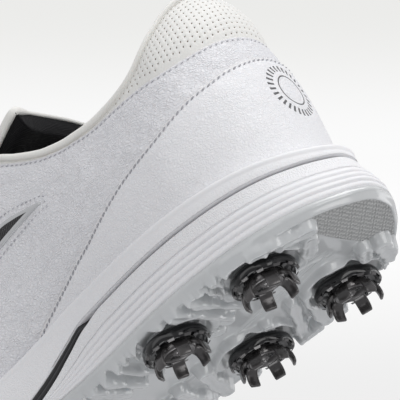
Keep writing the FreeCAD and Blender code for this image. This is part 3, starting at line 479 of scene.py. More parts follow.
# ---------------------------------------------------------------- materials
class Mat:
    """A node material. Coordinates c are millimetres in the shoe's frame."""

    def __init__(self, name, **principled):
        self.m = bpy.data.materials.new(name)
        self.m.use_nodes = True
        self.t = self.m.node_tree
        self.t.nodes.clear()
        self.out = self.n("ShaderNodeOutputMaterial")
        self.p = self.n("ShaderNodeBsdfPrincipled")
        self.t.links.new(self.p.outputs[0], self.out.inputs[0])
        tc = self.n("ShaderNodeTexCoord")
        mp = self.n("ShaderNodeMapping", {"Vector": tc.outputs["Object"], "Scale": (1000, 1000, 1000)})
        self.c = mp.outputs[0]
        self.uv = tc.outputs["UV"]
        self.h = None
        self.put(**principled)

    def n(self, kind, ins=None, **props):
        nd = self.t.nodes.new(kind)
        for k, v in props.items():
            setattr(nd, k, v)
        for k, v in (ins or {}).items():
            if isinstance(v, bpy.types.NodeSocket):
                self.t.links.new(v, nd.inputs[k])
            else:
                nd.inputs[k].default_value = v
        return nd

    def put(self, **kw):
        for k, v in kw.items():
            k = k.replace("_", " ")
            if isinstance(v, bpy.types.NodeSocket):
                self.t.links.new(v, self.p.inputs[k])
            else:
                self.p.inputs[k].default_value = v

    def math(self, op, a, b=0.0, c=0.0):
        return self.n("ShaderNodeMath", {0: a, 1: b, 2: c}, operation=op).outputs[0]

    def vec(self, scale, src=None, rot=(0, 0, 0)):
        return self.n("ShaderNodeMapping", {"Vector": src or self.c, "Scale": scale, "Rotation": rot}).outputs[0]

    def noise(self, scale, detail=2.0, rough=0.5, src=None, dist=0.0):
        return self.n("ShaderNodeTexNoise", {"Vector": src or self.c, "Scale": scale, "Detail": detail,
                                             "Roughness": rough, "Distortion": dist}).outputs[0]

    def voronoi(self, scale, feature="DISTANCE_TO_EDGE", src=None, rand=1.0):
        return self.n("ShaderNodeTexVoronoi", {"Vector": src or self.c, "Scale": scale, "Randomness": rand},
                      feature=feature).outputs["Distance"]

    def warp(self, scale, amount, src=None):
        nz = self.n("ShaderNodeTexNoise", {"Vector": src or self.c, "Scale": scale, "Detail": 1.0})
        off = self.n("ShaderNodeVectorMath", {0: nz.outputs["Color"], 1: (0.5, 0.5, 0.5)}, operation="SUBTRACT")
        sc = self.n("ShaderNodeVectorMath", {0: off.outputs[0], "Scale": amount}, operation="SCALE")
        return self.n("ShaderNodeVectorMath", {0: src or self.c, 1: sc.outputs[0]}, operation="ADD").outputs[0]

    def ramp(self, fac, a, b, ca=(0, 0, 0, 1), cb=(1, 1, 1, 1)):
        r = self.n("ShaderNodeValToRGB", {0: fac})
        r.color_ramp.elements[0].position, r.color_ramp.elements[1].position = a, b
        r.color_ramp.elements[0].color, r.color_ramp.elements[1].color = ca, cb
        return r.outputs[0]

    def mix(self, fac, a, b):
        m = self.n("ShaderNodeMix", data_type="RGBA")
        for key, v in ((0, fac), (6, a), (7, b)):
            if isinstance(v, bpy.types.NodeSocket):
                self.t.links.new(v, m.inputs[key])
            else:
                m.inputs[key].default_value = v if not isinstance(v, tuple) or len(v) == 4 else (*v, 1)
        return m.outputs[2]

    def add(self, height, amount):
        """Adds a height, times amount in mm, to the bump."""
        g = self.math("MULTIPLY", height, amount)
        self.h = g if self.h is None else self.math("ADD", self.h, g)

    def attr(self, name):
        return self.n("ShaderNodeAttribute", attribute_name=name).outputs["Fac"]

    def done(self, strength=1.0):
        if self.h is not None:
            b = self.n("ShaderNodeBump", {"Strength": strength, "Distance": 0.001, "Height": self.h})
            self.t.links.new(b.outputs[0], self.p.inputs["Normal"])
        return self.m


def leather(name, base, dark, cell, pebble, crease, fine, rough, stretch=(1, 1, 1), big=0.0, folds=0.0, emblem=None):
    m = Mat(name)
    w = m.warp(0.35, 1.6)
    s = m.vec(stretch, w)
    vor = m.voronoi(1.0 / cell, "DISTANCE_TO_EDGE", s)
    peb = m.ramp(vor, 0.0, 0.32)
    vor2 = m.voronoi(0.52 / cell, "F1", s)
    nz = m.noise(1.1 / cell, 2.0, 0.6, s)
    m.add(peb, pebble)
    m.add(vor2, -pebble * 0.7)
    m.add(nz, crease)
    m.add(m.noise(3.3, 3.0, 0.65), fine)
    if big:
        m.add(m.noise(0.10, 1.5, 0.5, None, 0.4), big)
    if folds:
        # long shallow wrinkles that lean forwards
        f = m.noise(0.52, 2.0, 0.55, m.vec((0.55, 1.0, 1.35), w, (0.0, 0.5, 0.0)), 0.7)
        g = m.math("ABSOLUTE", m.math("SUBTRACT", f, 0.5))
        m.add(m.ramp(g, 0.0, 0.10), folds)
        m.add(f, folds * 1.6)
    # painted crease shade: the grain's crease lines (low peb, at the cell edges) take the dark colour; the large noise
    # adds random tone
    crease_shade_and_tone = m.math("ADD", m.math("MULTIPLY", peb, 0.55), m.math("MULTIPLY", m.noise(0.06, 2.0), 0.45))
    tint = m.mix(crease_shade_and_tone, dark, base)
    edge = m.ramp(m.attr("edge"), 0.0, 0.62, (1.06, 1.03, 0.97, 1), (1, 1, 1, 1))
    col = m.n("ShaderNodeMix", data_type="RGBA", blend_type="MULTIPLY")
    col.inputs[0].default_value = 1.0
    m.t.links.new(tint, col.inputs[6])
    m.t.links.new(edge, col.inputs[7])
    final = col.outputs[2]
    if emblem:
        # plain round mark: a ring of short radial dashes and a thin circle
        sp = m.n("ShaderNodeSeparateXYZ", {0: m.c})
        dy = m.math("SUBTRACT", sp.outputs[1], emblem[1])
        dz = m.math("SUBTRACT", sp.outputs[2], emblem[2])
        r = m.math("SQRT", m.math("ADD", m.math("MULTIPLY", dy, dy), m.math("MULTIPLY", dz, dz)))
        an = m.math("ARCTAN2", dy, dz)
        dash = m.math("GREATER_THAN", m.math("COSINE", m.math("MULTIPLY", an, 28.0)), 0.25)
        band = m.math("LESS_THAN", m.math("ABSOLUTE", m.math("SUBTRACT", r, 8.4)), 1.15)
        thin = m.math("LESS_THAN", m.math("ABSOLUTE", m.math("SUBTRACT", r, 5.4)), 0.22)
        back = m.math("LESS_THAN", sp.outputs[0], emblem[0])
        mask = m.math("MULTIPLY", m.math("MAXIMUM", m.math("MULTIPLY", dash, band), thin), back)
        final = m.mix(m.math("MULTIPLY", mask, 0.90), final, (0.03, 0.03, 0.032))
        m.add(mask, -0.22)
    m.put(Base_Color=final)
    rr = m.math("MULTIPLY_ADD", nz, 0.16, rough - 0.06)
    m.put(Roughness=rr, Specular_IOR_Level=0.42, Sheen_Weight=0.06, Sheen_Roughness=0.4,
          Subsurface_Weight=0.06, Subsurface_Radius=(0.0012, 0.0010, 0.0009), Subsurface_Scale=1.0)
    return m.done()


EMB_V = 0.385
EMB_AT = skin(np.array([0.0]), np.array([[EMB_V]]))[0, 0]
EMB_Y, EMB_Z = float(EMB_AT[1]), float(EMB_AT[2])
TUMBLED = leather("tumbled_leather", (0.86, 0.86, 0.878), (0.76, 0.76, 0.79), 1.15, 0.17, 0.13, 0.020, 0.44, (0.8, 1.0, 1.35), 0.45, 0.06)
SMOOTH = leather("smooth_leather", (0.885, 0.885, 0.897), (0.80, 0.80, 0.825), 0.95, 0.085, 0.07, 0.016, 0.40, (1.0, 1.0, 1.1), 0.2)
COUNTER = leather("counter_leather", (0.885, 0.885, 0.897), (0.80, 0.80, 0.825), 0.95, 0.085, 0.08, 0.016, 0.40, (0.9, 1.0, 1.15), 0.3,
                  0.05, (-110.0, EMB_Y, EMB_Z))
PERF = leather("perforated_leather", (0.835, 0.83, 0.805), (0.775, 0.77, 0.745), 0.8, 0.03, 0.03, 0.012, 0.52)
BINDING = leather("binding_leather", (0.88, 0.875, 0.84), (0.82, 0.81, 0.775), 0.7, 0.025, 0.02, 0.01, 0.45)


def plain(name, base, vary, rough, scale=0.25, grit=0.0, grit_scale=2.5, spec=0.5, **kw):
    m = Mat(name)
    f = m.noise(scale, 3.0, 0.6)
    m.put(Base_Color=m.mix(f, tuple(c * (1 - vary) for c in base), base))
    m.put(Roughness=m.math("MULTIPLY_ADD", f, 0.12, rough - 0.06), Specular_IOR_Level=spec, **kw)
    if grit:
        m.add(m.noise(grit_scale, 3.0, 0.7), grit)
    return m


RAW_EDGE = plain("raw_edge", (0.80, 0.77, 0.70), 0.14, 0.75, 1.5, 0.08, 4.0).done()
HOLE = plain("perforation_wall", (0.40, 0.33, 0.25), 0.3, 0.9, 2.0, 0.03).done()


def thread(name, base):
    m = Mat(name)
    f = m.n("ShaderNodeTexWave", {"Vector": m.c, "Scale": 1.7, "Distortion": 0.6, "Detail": 1.0},
            wave_type="BANDS", bands_direction="DIAGONAL").outputs[1]
    m.add(f, 0.05)
    m.put(Base_Color=m.mix(f, tuple(c * 0.72 for c in base), base), Roughness=0.55, Sheen_Weight=0.3)
    return m.done()


THREAD = thread("thread_grey", (0.50, 0.50, 0.535))
THREAD_LIGHT = thread("thread_light", (0.60, 0.60, 0.64))


def knit(name, base, cell=0.8, rough=0.85):
    m = Mat(name)
    s = m.warp(0.3, 0.5)
    a = m.n("ShaderNodeTexWave", {"Vector": s, "Scale": 0.35 / cell, "Distortion": 0.3}, wave_type="BANDS",
            bands_direction="X", wave_profile="SIN").outputs[1]
    b = m.n("ShaderNodeTexWave", {"Vector": s, "Scale": 0.45 / cell, "Distortion": 0.3}, wave_type="BANDS",
            bands_direction="Z", wave_profile="SIN").outputs[1]
    w = m.math("MULTIPLY", a, b)
    f = m.noise(2.2, 3.0, 0.7)
    m.add(w, 0.18)
    m.add(f, 0.10)
    t = m.math("MULTIPLY_ADD", w, 0.6, m.math("MULTIPLY", f, 0.4))
    m.put(Base_Color=m.mix(t, tuple(c * 0.45 for c in base), base), Roughness=rough, Sheen_Weight=0.06,
          Sheen_Roughness=0.5, Specular_IOR_Level=0.2)
    return m.done()


LINING = knit("black_lining", (0.007, 0.007, 0.009), 0.75)
SOCK = knit("sockliner_fabric", (0.05, 0.05, 0.055), 1.0)
LIGHT_LINING = knit("light_lining", (0.62, 0.62, 0.61), 0.9)
BOARD = knit("strobel_board", (0.55, 0.52, 0.45), 1.6)


def foam(name, base, grit, band=False):
    m = Mat(name)
    f = m.noise(0.12, 2.0)
    sp = m.voronoi(2.1, "F1")
    fine = m.noise(4.2, 2.0, 0.7)
    m.put(Base_Color=m.mix(f, tuple(c * 0.965 for c in base), base))
    if band:
        k = m.attr("sand")
        m.add(m.math("MULTIPLY", sp, k), 0.17)
        m.add(m.math("MULTIPLY", m.noise(1.5, 3.0, 0.65), k), 0.16)
    m.add(fine, grit)
    m.put(Roughness=m.math("MULTIPLY_ADD", fine, 0.15, 0.44), Specular_IOR_Level=0.45,
          Subsurface_Weight=0.10, Subsurface_Radius=(0.0016, 0.0014, 0.0013), Subsurface_Scale=1.0)
    return m.done()


MIDSOLE = foam("midsole_foam", (0.87, 0.87, 0.885), 0.012, True)
FOAM_IN = foam("inner_foam", (0.80, 0.80, 0.78), 0.03)
FOAM_BLACK = plain("black_foam", (0.03, 0.03, 0.032), 0.3, 0.8, 0.5, 0.05).done()
SHANK = plain("shank_black", (0.014, 0.014, 0.016), 0.4, 0.34, 0.4, 0.03, 2.0).done()
# lighter grey for the shank's middle groove: a painted highlight line
SHANK_PAINTED_HIGHLIGHT = plain("shank_highlight_paint", (0.06, 0.06, 0.065), 0.15, 0.3, 0.6, 0.02).done()


def tpu():
    m = Mat("outsole_tpu")
    f = m.noise(0.05, 2.0)
    fine = m.noise(0.5, 2.0, 0.5)
    m.put(Base_Color=m.mix(f, (0.60, 0.62, 0.63), (0.72, 0.735, 0.74)))
    m.add(fine, 0.03)
    m.put(Roughness=m.math("MULTIPLY_ADD", fine, 0.06, 0.09), Specular_IOR_Level=0.62, IOR=1.48,
          Transmission_Weight=0.10, Coat_Weight=0.6, Coat_Roughness=0.05,
          Subsurface_Weight=0.18, Subsurface_Radius=(0.004, 0.0042, 0.0044), Subsurface_Scale=1.0)
    return m.done(0.7)


TPU = tpu()


def heel_pad_mat():
    m = Mat("heel_pad")
    s = m.vec((1, 1, 0))
    d = m.voronoi(0.62, "F1", s, 0.12)
    dots = m.ramp(d, 0.30, 0.48)
    m.add(dots, -0.28)
    f = m.noise(0.3, 2.0)
    m.put(Base_Color=m.mix(dots, (0.56, 0.565, 0.56), (0.40, 0.405, 0.405)),
          Roughness=m.math("MULTIPLY_ADD", f, 0.15, 0.35), Specular_IOR_Level=0.5)
    return m.done()


HEEL_PAD = heel_pad_mat()


def spike_black():
    m = Mat("spike_black")
    f = m.noise(0.35, 2.0)
    sc = m.noise(2.0, 3.0, 0.7, m.vec((1, 1, 0.2)))
    m.add(sc, 0.02)
    m.put(Base_Color=m.mix(f, (0.003, 0.003, 0.0035), (0.008, 0.008, 0.009)),
          Roughness=m.math("MULTIPLY_ADD", f, 0.10, 0.10), Specular_IOR_Level=0.45, Coat_Weight=0.25, Coat_Roughness=0.04)
    return m.done(0.6)


def spike_metal():
    m = Mat("spike_gunmetal")
    f = m.noise(0.5, 3.0)
    m.add(m.noise(3.0, 3.0, 0.7), 0.012)
    m.put(Base_Color=m.mix(f, (0.115, 0.11, 0.11), (0.20, 0.195, 0.195)), Metallic=0.85,
          Roughness=m.math("MULTIPLY_ADD", f, 0.16, 0.17))
    return m.done()


SPIKE = spike_black()
HUB = spike_metal()
CLAW = plain("spike_claw", (0.105, 0.10, 0.10), 0.35, 0.20, 0.5, 0.012, 3.0, 0.6, Metallic=0.55, Coat_Weight=0.3).done()
RECEPTACLE = plain("receptacle_nylon", (0.55, 0.56, 0.57), 0.2, 0.4, 0.4, 0.02).done()
FRAME_TPU = plain("side_frame", (0.60, 0.61, 0.62), 0.12, 0.22, 0.15, 0.008, 2.5, 0.6, Metallic=0.25, Coat_Weight=0.5).done()


def inlay():
    m = Mat("side_inlay")
    w = m.n("ShaderNodeTexWave", {"Vector": m.c, "Scale": 0.55, "Distortion": 0.0}, wave_type="BANDS",
            bands_direction="DIAGONAL").outputs[1]
    v = m.voronoi(2.4, "F1")
    m.add(w, 0.16)
    sp = m.ramp(v, 0.12, 0.30, (0.30, 0.30, 0.32, 1), (0.012, 0.012, 0.014, 1))
    m.put(Base_Color=m.mix(w, (0.006, 0.006, 0.007, 1), sp), Metallic=0.35, Roughness=0.28, Coat_Weight=0.4)
    return m.done()


INLAY = inlay()


def lace_mat():
    m = Mat("lace_weave")
    s = m.vec((1, 1, 1), m.uv)
    a = m.n("ShaderNodeTexWave", {"Vector": s, "Scale": 0.62}, wave_type="BANDS", bands_direction="DIAGONAL").outputs[1]
    s2 = m.vec((1, -1, 1), m.uv)
    b = m.n("ShaderNodeTexWave", {"Vector": s2, "Scale": 0.62}, wave_type="BANDS", bands_direction="DIAGONAL").outputs[1]
    w = m.math("MAXIMUM", a, b)
    m.add(w, 0.16)
    m.add(m.noise(3.5, 2.0), 0.05)
    m.put(Base_Color=m.mix(w, (0.66, 0.66, 0.66), (0.86, 0.86, 0.855)), Roughness=0.7, Sheen_Weight=0.25)
    return m.done()


LACE = lace_mat()
AGLET = plain("aglet_clear", (0.72, 0.73, 0.74), 0.1, 0.15, 0.6, 0.01, Coat_Weight=0.6).done()
STIFF = plain("stiffener_sheet", (0.66, 0.62, 0.52), 0.2, 0.6, 0.5, 0.06, 2.0).done()
EYELET = plain("eyelet_metal", (0.62, 0.63, 0.64), 0.15, 0.25, 0.8, 0.01, Metallic=0.9).done()
EMBLEM_INK = plain("emblem_tint", (0.10, 0.10, 0.11), 0.3, 0.45, 0.9, 0.02).done()


# ---------------------------------------------------------------- upper
def vnoise(p, seed=0):
    """Smooth value noise of points p (..., 3), about -1..1."""
    p = np.asarray(p, float) + 1000.0 + seed * 17.31
    i = np.floor(p).astype(np.int64)
    f = p - i
    f = f * f * (3 - 2 * f)

    def hsh(a, b, c):
        k = (a * 374761393 + b * 668265263 + c * 2147483647 + seed * 974711) & 0xFFFFFFFF
        k = ((k ^ (k >> 13)) * 1274126177) & 0xFFFFFFFF
        return ((k ^ (k >> 16)) & 0xFFFF) / 32767.5 - 1.0

    out = 0.0
    for da in (0, 1):
        wa = f[..., 0] if da else 1 - f[..., 0]
        for db in (0, 1):
            wb = f[..., 1] if db else 1 - f[..., 1]
            for dc in (0, 1):
                wc = f[..., 2] if dc else 1 - f[..., 2]
                out = out + wa * wb * wc * hsh(i[..., 0] + da, i[..., 1] + db, i[..., 2] + dc)
    return out


QUARTER_TOP = pchip([0, .6, 1.4, 1.8, 2.26, 2.76, 3.30, 3.66, 3.98, 4.3, 4.8, 5.03, 5.25, 5.46, 5.66, 5.84, 6.08, 6.6, 7.0, 10],
                    [.679, .678, .682, .688, .711, .761, .847, .900, .940, .960, .961, .942, .922, .905, .901, .904, .917, .935, .985, .985])
COUNTER_TOP = pchip([0, .5, 1, 1.5, 2, 2.5, 3.1, 3.5, 3.94, 4.31, 4.62, 4.93, 5.2, 5.46, 5.75, 6.0, 6.23, 6.5, 6.62],
                    [.552, .547, .534, .522, .508, .506, .493, .477, .458, .428, .381, .319, .264, .225, .183, .152, .125, .088, .05])
# the crease under the rolled edge of the binding
BIND_LOW = pchip([0, 4.2, 4.5, 4.8, 5.0, 5.22, 5.43, 5.64, 5.84, 6.05, 6.6, 7.15],
                 [.997, .992, .985, .977, .958, .938, .920, .916, .919, .934, .955, .968])


def stitch_path(us, v, inset_mm, off, side=1):
    """Points and normals inset_mm below the border v(u)."""
    us = np.asarray(us, float)
    v = np.asarray(v, float)
    a = skin(us, v[:, None])[:, 0]
    b = skin(us, np.maximum(v - 0.02, 0)[:, None])[:, 0]
    L = np.linalg.norm(a - b, axis=1) / 0.02
    vv = v - side * inset_mm / np.maximum(L, 1)
    t = np.gradient(a, axis=0)
    return layer(us, vv[:, None], np.full((len(us), 1), off))[:, 0], skin_normal(us, vv[:, None])[:, 0]


def quarter_extra(us, v, s, far, near):
    p = skin(us, v)
    q = p * np.array([0.11, 0.2, 0.16])
    w = 0.34 * vnoise(q, 3) + 0.16 * vnoise(p * 0.32, 5) + 0.05 * vnoise(p * 0.85, 9)
    groove = np.exp(-((far - 1.15) / 0.42) ** 2) * 0.22
    return w * smooth(0.4, 5.0, near) - groove


us = np.linspace(-9.96, 9.96, 441)
quarters = piece_on_skin("quarter_leather", us, np.zeros(len(us)), QUARTER_TOP(np.abs(us)), -1.3, 0.35,
                         [TUMBLED, RAW_EDGE], edge=0.5, step=1.15, extra=quarter_extra)
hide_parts("quarter_medial", "quarter_lateral")

# heel counter: smooth panel over the quarter, crowned between its borders
def emblem(us, v):
    """Shallow round deboss with a dimpled disc in the middle, in mm."""
    p = skin(us, v)
    y, z = p[..., 1] - EMB_Y, p[..., 2] - EMB_Z
    back = p[..., 0] < -112
    r = np.hypot(y, z)
    disc = 1 - smooth(3.6, 4.2, r)
    dimple = np.maximum(np.cos(y * 3.4) * np.cos(z * 3.4), 0) ** 2
    h = 0.16 * np.exp(-((r - 8.4) / 1.2) ** 2) + 0.22 * np.exp(-((r - 4.3) / 0.35) ** 2) + disc * (0.22 * dimple)
    return h * back


def counter_extra(us, v, s, far, near):
    p = skin(us, v)
    g = np.exp(-((far - 1.1) / 0.40) ** 2) * 0.30
    w = 0.16 * vnoise(p * np.array([0.12, 0.15, 0.14]), 11) + 0.03 * vnoise(p * 0.9, 13)
    return w * smooth(0.4, 5.0, near) - g - emblem(us, v)


us = np.unique(np.concatenate([np.linspace(-6.62, -1.15, 150), np.linspace(-1.15, 1.15, 190), np.linspace(1.15, 6.62, 150)]))
counter = piece_on_skin("heel_counter", us, np.zeros(len(us)), COUNTER_TOP(np.abs(us)), 0.36, 1.15,
                        [COUNTER, RAW_EDGE], edge=0.45, step=0.55, puff=0.75, extra=counter_extra)
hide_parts("heel_counter_panel")
us = np.linspace(-6.45, 6.45, 700)
p, nn = stitch_path(us, COUNTER_TOP(np.abs(us)), 1.1, 1.32)
stitches("counter_stitches", p, nn, THREAD, 2.1, 1.75, 0.52, 0.26, 0.42)
us = np.linspace(-6.9, 6.9, 700)
p, nn = stitch_path(us, QUARTER_TOP(np.abs(us)), 1.15, 0.10)
stitches("collar_seam_stitches", p, nn, THREAD_LIGHT, 2.1, 1.45, 0.46, 0.26, 0.42)


# perforated collar tab: small pits on a square pattern that follows the top line
def tab():
    pitch_s, pitch_t = 2.05, 1.85
    uu = np.linspace(-6.95, 6.95, 1400)
    line = skin(uu, np.full((len(uu), 1), 0.90))[:, 0]
    cum = np.concatenate([[0], np.cumsum(np.linalg.norm(np.diff(line, axis=0), axis=1))])
    cum -= np.interp(0.0, uu, cum)
    ns = int(cum[-1] / (pitch_s / 2)) // 2 * 2
    S = np.arange(-ns, ns + 1) * pitch_s / 2
    U = np.interp(S, cum, uu)
    low = QUARTER_TOP(np.abs(U)) - 0.012
    probe = np.linspace(0, 1, 60)
    top_v = np.maximum(BIND_LOW(np.abs(U)) + 0.004, low + 0.004)
    VV = low[:, None] + (top_v - low)[:, None] * probe
    P = skin(U, VV)
    seg = np.concatenate([np.zeros((len(U), 1)), np.cumsum(np.linalg.norm(np.diff(P, axis=1), axis=2), 1)], 1)
    H = seg[:, -1]
    nt = int(np.ceil(H.max() / (pitch_t / 2))) // 2 * 2 + 2
    T = np.arange(0, nt + 1) * pitch_t / 2          # mm down from the top border
    down = np.minimum(T[None, :], H[:, None])
    V_ = np.empty_like(down)
    for i in range(len(U)):
        V_[i] = np.interp(H[i] - down[i], seg[i], VV[i])
    frac = np.clip((H[:, None] - down) / np.maximum(H[:, None], 1e-6), 0, 1)    # 0 at seam, 1 at top
    size_f = smooth(4.0, 22.0, H)[:, None]
    bulge = (0.35 + 2.0 * size_f) * np.sin(np.pi * np.clip(frac, 0, 1) ** 0.9) ** 0.8

    def surf(us_, vs_, bl):
        return layer(us_, vs_, -0.55 + bl)

    O = surf(U, V_, bulge)
    I = layer(U, V_, np.full_like(V_, -1.3))
    n, m = V_.shape
    N_ = norm(np.cross(np.gradient(O, axis=0), np.gradient(O, axis=1)))
    nref = skin_normal(U, V_)
    N_ = N_ * np.sign(np.sum(N_ * nref, -1, keepdims=True))
    verts = [O.reshape(-1, 3)]
    base = n * m
    faces4, holes4, caps = [], [], []
    used = np.zeros((n - 1, m - 1), bool)
    ring8 = [(-1, -1), (0, -1), (1, -1), (1, 0), (1, 1), (0, 1), (-1, 1), (-1, 0)]
    ang = [math.atan2(b, a) for a, b in ring8]
    hv = []
    for i in range(1, n - 1, 2):
        for j in range(1, m - 1, 2):
            if down[i, j] + pitch_t * 0.95 > H[i] or abs(U[i]) > 6.55:
                continue
            if min(H[i - 1], H[i + 1]) < down[i, j] + pitch_t * 0.95:
                continue
            c = O[i, j]
            ex = norm(O[i + 1, j] - O[i - 1, j])
            ey = norm(O[i, j + 1] - O[i, j - 1])
            nn_ = N_[i, j]
            k0 = base + len(hv)
            for rad, dep in ((0.36, 0.0), (0.27, 0.09), (0.23, 0.55)):
                for a in ang:
                    hv.append(c + ex * rad * math.cos(a) + ey * rad * math.sin(a) - nn_ * dep)
            o = [(i + a) * m + j + b for a, b in ring8]
            for q in range(8):
                q2 = (q + 1) % 8
                faces4.append((o[q], o[q2], k0 + q2, k0 + q))
                faces4.append((k0 + q, k0 + q2, k0 + 8 + q2, k0 + 8 + q))
                holes4.append((k0 + 8 + q, k0 + 8 + q2, k0 + 16 + q2, k0 + 16 + q))
            caps.append([k0 + 16 + q for q in range(8)])
            used[i - 1:i + 1, j - 1:j + 1] = True
    for i in range(n - 1):
        for j in range(m - 1):
            if used[i, j]:
                continue
            lo = max(H[i] - T[j], H[i + 1] - T[j])
            if lo <= 0.0:
                continue
            faces4.append((i * m + j, (i + 1) * m + j, (i + 1) * m + j + 1, i * m + j + 1))
    verts.append(np.array(hv))
    b2 = base + len(hv)
    verts.append(I.reshape(-1, 3))
    inner = []
    for i in range(n - 1):
        for j in range(m - 1):
            if max(H[i] - T[j], H[i + 1] - T[j]) > 0:
                inner.append((b2 + i * m + j, b2 + i * m + j + 1, b2 + (i + 1) * m + j + 1, b2 + (i + 1) * m + j))
    rim = []
    for i in range(n - 1):
        rim.append((i * m, b2 + i * m, b2 + (i + 1) * m, (i + 1) * m))
        js = [j for j in range(m) if H[i] - T[j] > 0 or H[i + 1] - T[j] > 0]
        jl = js[-1] + 1 if js else 0
        rim.append(((i + 1) * m + jl, b2 + (i + 1) * m + jl, b2 + i * m + jl, i * m + jl))
    V = np.concatenate(verts)
    f = np.array(faces4)
    # outer faces point outwards
    tri = V[f[:, [0, 1, 2]]]
    g = np.cross(tri[:, 1] - tri[:, 0], tri[:, 2] - tri[:, 0])
    cen = V[f].mean(1)
    ob = make("collar_tab_leather", V, [f, np.array(holes4), np.array(caps), np.array(inner), np.array(rim)],
              [PERF, HOLE, HOLE, PERF, PERF],
              attrs={"edge": np.full(len(V), 3.0)})
    bm = bmesh.new()
    bm.from_mesh(ob.data)
    bmesh.ops.remove_doubles(bm, verts=bm.verts, dist=2e-6)
    bmesh.ops.recalc_face_normals(bm, faces=bm.faces)
    bm.to_mesh(ob.data)
    bm.free()
    return ob


tab_ob = tab()
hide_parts("collar_tab")


# binding: folded strip over the top line, round in section
def binding():
    us = np.linspace(-7.15, 7.15, 560)
    au = np.abs(us)
    v = BIND_LOW(au)
    P = skin(us, v[:, None])[:, 0]
    Nn = skin_normal(us, v[:, None])[:, 0]
    up = norm(skin(us, np.minimum(v + 0.02, 1.0)[:, None])[:, 0] - skin(us, (v - 0.05)[:, None])[:, 0])
    Nn = norm(Nn - up * np.sum(Nn * up, -1, keepdims=True))
    hb = 1.35 + 1.05 * smooth(3.3, 4.5, au)
    prof = np.array([(-0.15, -0.12), (0.42, -0.10), (0.85, 0.10), (1.02, 0.38), (0.98, 0.62), (0.70, 0.86), (0.2, 0.99),
                     (-0.5, 1.04), (-1.5, 1.0), (-2.8, 0.9), (-3.9, 0.6), (-4.6, 0.1), (-4.8, -0.6), (-4.4, -1.2),
                     (-3.0, -0.9), (-1.4, -0.6)])
    side = np.broadcast_to(prof[None, :, 0], (len(us), len(prof)))
    rise = np.where(prof[None, :, 1] > 0, prof[None, :, 1] * hb[:, None], prof[None, :, 1])
    ripple = 0.05 * vnoise(np.stack([us * 4, us * 0, us * 0], -1), 2)
    V = P[:, None] + Nn[:, None] * (side + ripple[:, None])[..., None] + up[:, None] * rise[..., None]
    n, k = V.shape[:2]
    V = V.reshape(-1, 3)
    V = np.concatenate([V, V[:k].mean(0)[None], V[-k:].mean(0)[None]])
    j = np.arange(k)
    j2 = (j + 1) % k
    polys = [quads(n, k, 0, wrap_m=True), np.stack([j2, j, np.full(k, n * k)], -1),
             np.stack([(n - 1) * k + j, (n - 1) * k + j2, np.full(k, n * k + 1)], -1)]
    ob = make("collar_binding_strip", V, polys, [BINDING], attrs={"edge": np.full(len(V), 3.0)})
    fix(ob)
    return ob


def fix(ob):
    bm = bmesh.new()
    bm.from_mesh(ob.data)
    bmesh.ops.recalc_face_normals(bm, faces=bm.faces)
    bm.to_mesh(ob.data)
    bm.free()
    return ob


bind_ob = binding()
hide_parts("collar_binding")


# inside: black padded lining, one sheet from facing to facing
def lining():
    us = np.linspace(-9.9, 9.9, 300)
    t = np.linspace(0, 1, 56)
    top = np.where(np.abs(us) < 7.0, np.minimum(BIND_LOW(np.abs(us)) + 0.002, 0.985), 0.975)[:, None]
    v = 0.03 + (top - 0.03) * np.broadcast_to(t, (len(us), len(t)))
    fade = np.clip((6.7 - np.abs(us)) / 1.1, 0, 1)[:, None]
    fade = fade * fade * (3 - 2 * fade)
    bump = np.where(v > 0.44, np.sin(np.pi * np.clip((v - 0.44) / 0.56, 0, 1)) ** 0.85, 0.0) * 5.2
    off = -3.3 - (0.6 + bump) * fade
    off = np.where(np.abs(us)[:, None] > 6.0, off + 0.9 * smooth(6.0, 7.2, np.abs(us))[:, None], off)
    p = skin(us, v)
    off = off + 0.12 * vnoise(p * 0.2, 21)
    O = layer(us, v, off)
    I = layer(us, v, off - 0.8)
    V, a, b, c = shell(O, I)
    return make("shoe_lining", V, [a, b, c], [LINING])


lin = lining()
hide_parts("quarter_lining", "vamp_lining_medial", "vamp_lining_lateral", "collar_foam")


# vamp: one sheet over the forefoot
def arch_grid(ua, ub, nu, rows, off, vmax=1.0, extra=None):
    us = np.linspace(ua, ub, nu)
    v1 = np.linspace(0, 1, rows)
    side_a = layer(-us, np.broadcast_to(v1, (nu, rows)), np.full((nu, rows), off))
    side_b = layer(us, np.broadcast_to(v1[::-1], (nu, rows)), np.full((nu, rows), off))
    g = np.concatenate([side_a, side_b[:, 1:]], 1)
    # even out the ridge where the two sides meet
    k = rows - 1
    ridge = 0.5 * (side_a[:, -1] + side_b[:, 0])
    g[:, k] = ridge
    for _ in range(3):
        g[:, k - 2:k + 3] = 0.5 * g[:, k - 2:k + 3] + 0.25 * (g[:, k - 3:k + 2] + g[:, k - 1:k + 4])
    return us, g


def vamp():
    us, g = arch_grid(9.9, 13.97, 150, 60, 0.0)
    nrm = norm(np.cross(np.gradient(g, axis=0), np.gradient(g, axis=1)))
    nrm = np.where(nrm[:, 60:61, 2:3] < 0, -nrm, nrm)
    w = 0.30 * vnoise(g * np.array([0.16, 0.09, 0.12]), 31) + 0.05 * vnoise(g * 0.8, 33)
    near = np.minimum(np.arange(len(us))[:, None] * 0.7, 6)
    O = g + nrm * (0.62 + w * smooth(0.5, 5, near) - 0.5 * np.exp(-near / 0.4))[..., None]
    I = g - nrm * 1.0
    V, a, b, c = shell(O, I)
    att = {"edge": np.concatenate([np.broadcast_to(near, g.shape[:2]).ravel(), np.zeros(near.size * g.shape[1])])}
    ob = make("vamp_leather", V, [a, np.concatenate([b, c])], [TUMBLED, RAW_EDGE], attrs=att)
    fix(ob)
    for row, tag in ((2, "rear"), (5, "front")):
        p = O[row, 4:-4]
        n_ = nrm[row, 4:-4]
        stitches("vamp_stitches_" + tag, p, n_, THREAD_LIGHT, 2.2, 1.4, 0.45, 0.24, 0.3)
    return ob


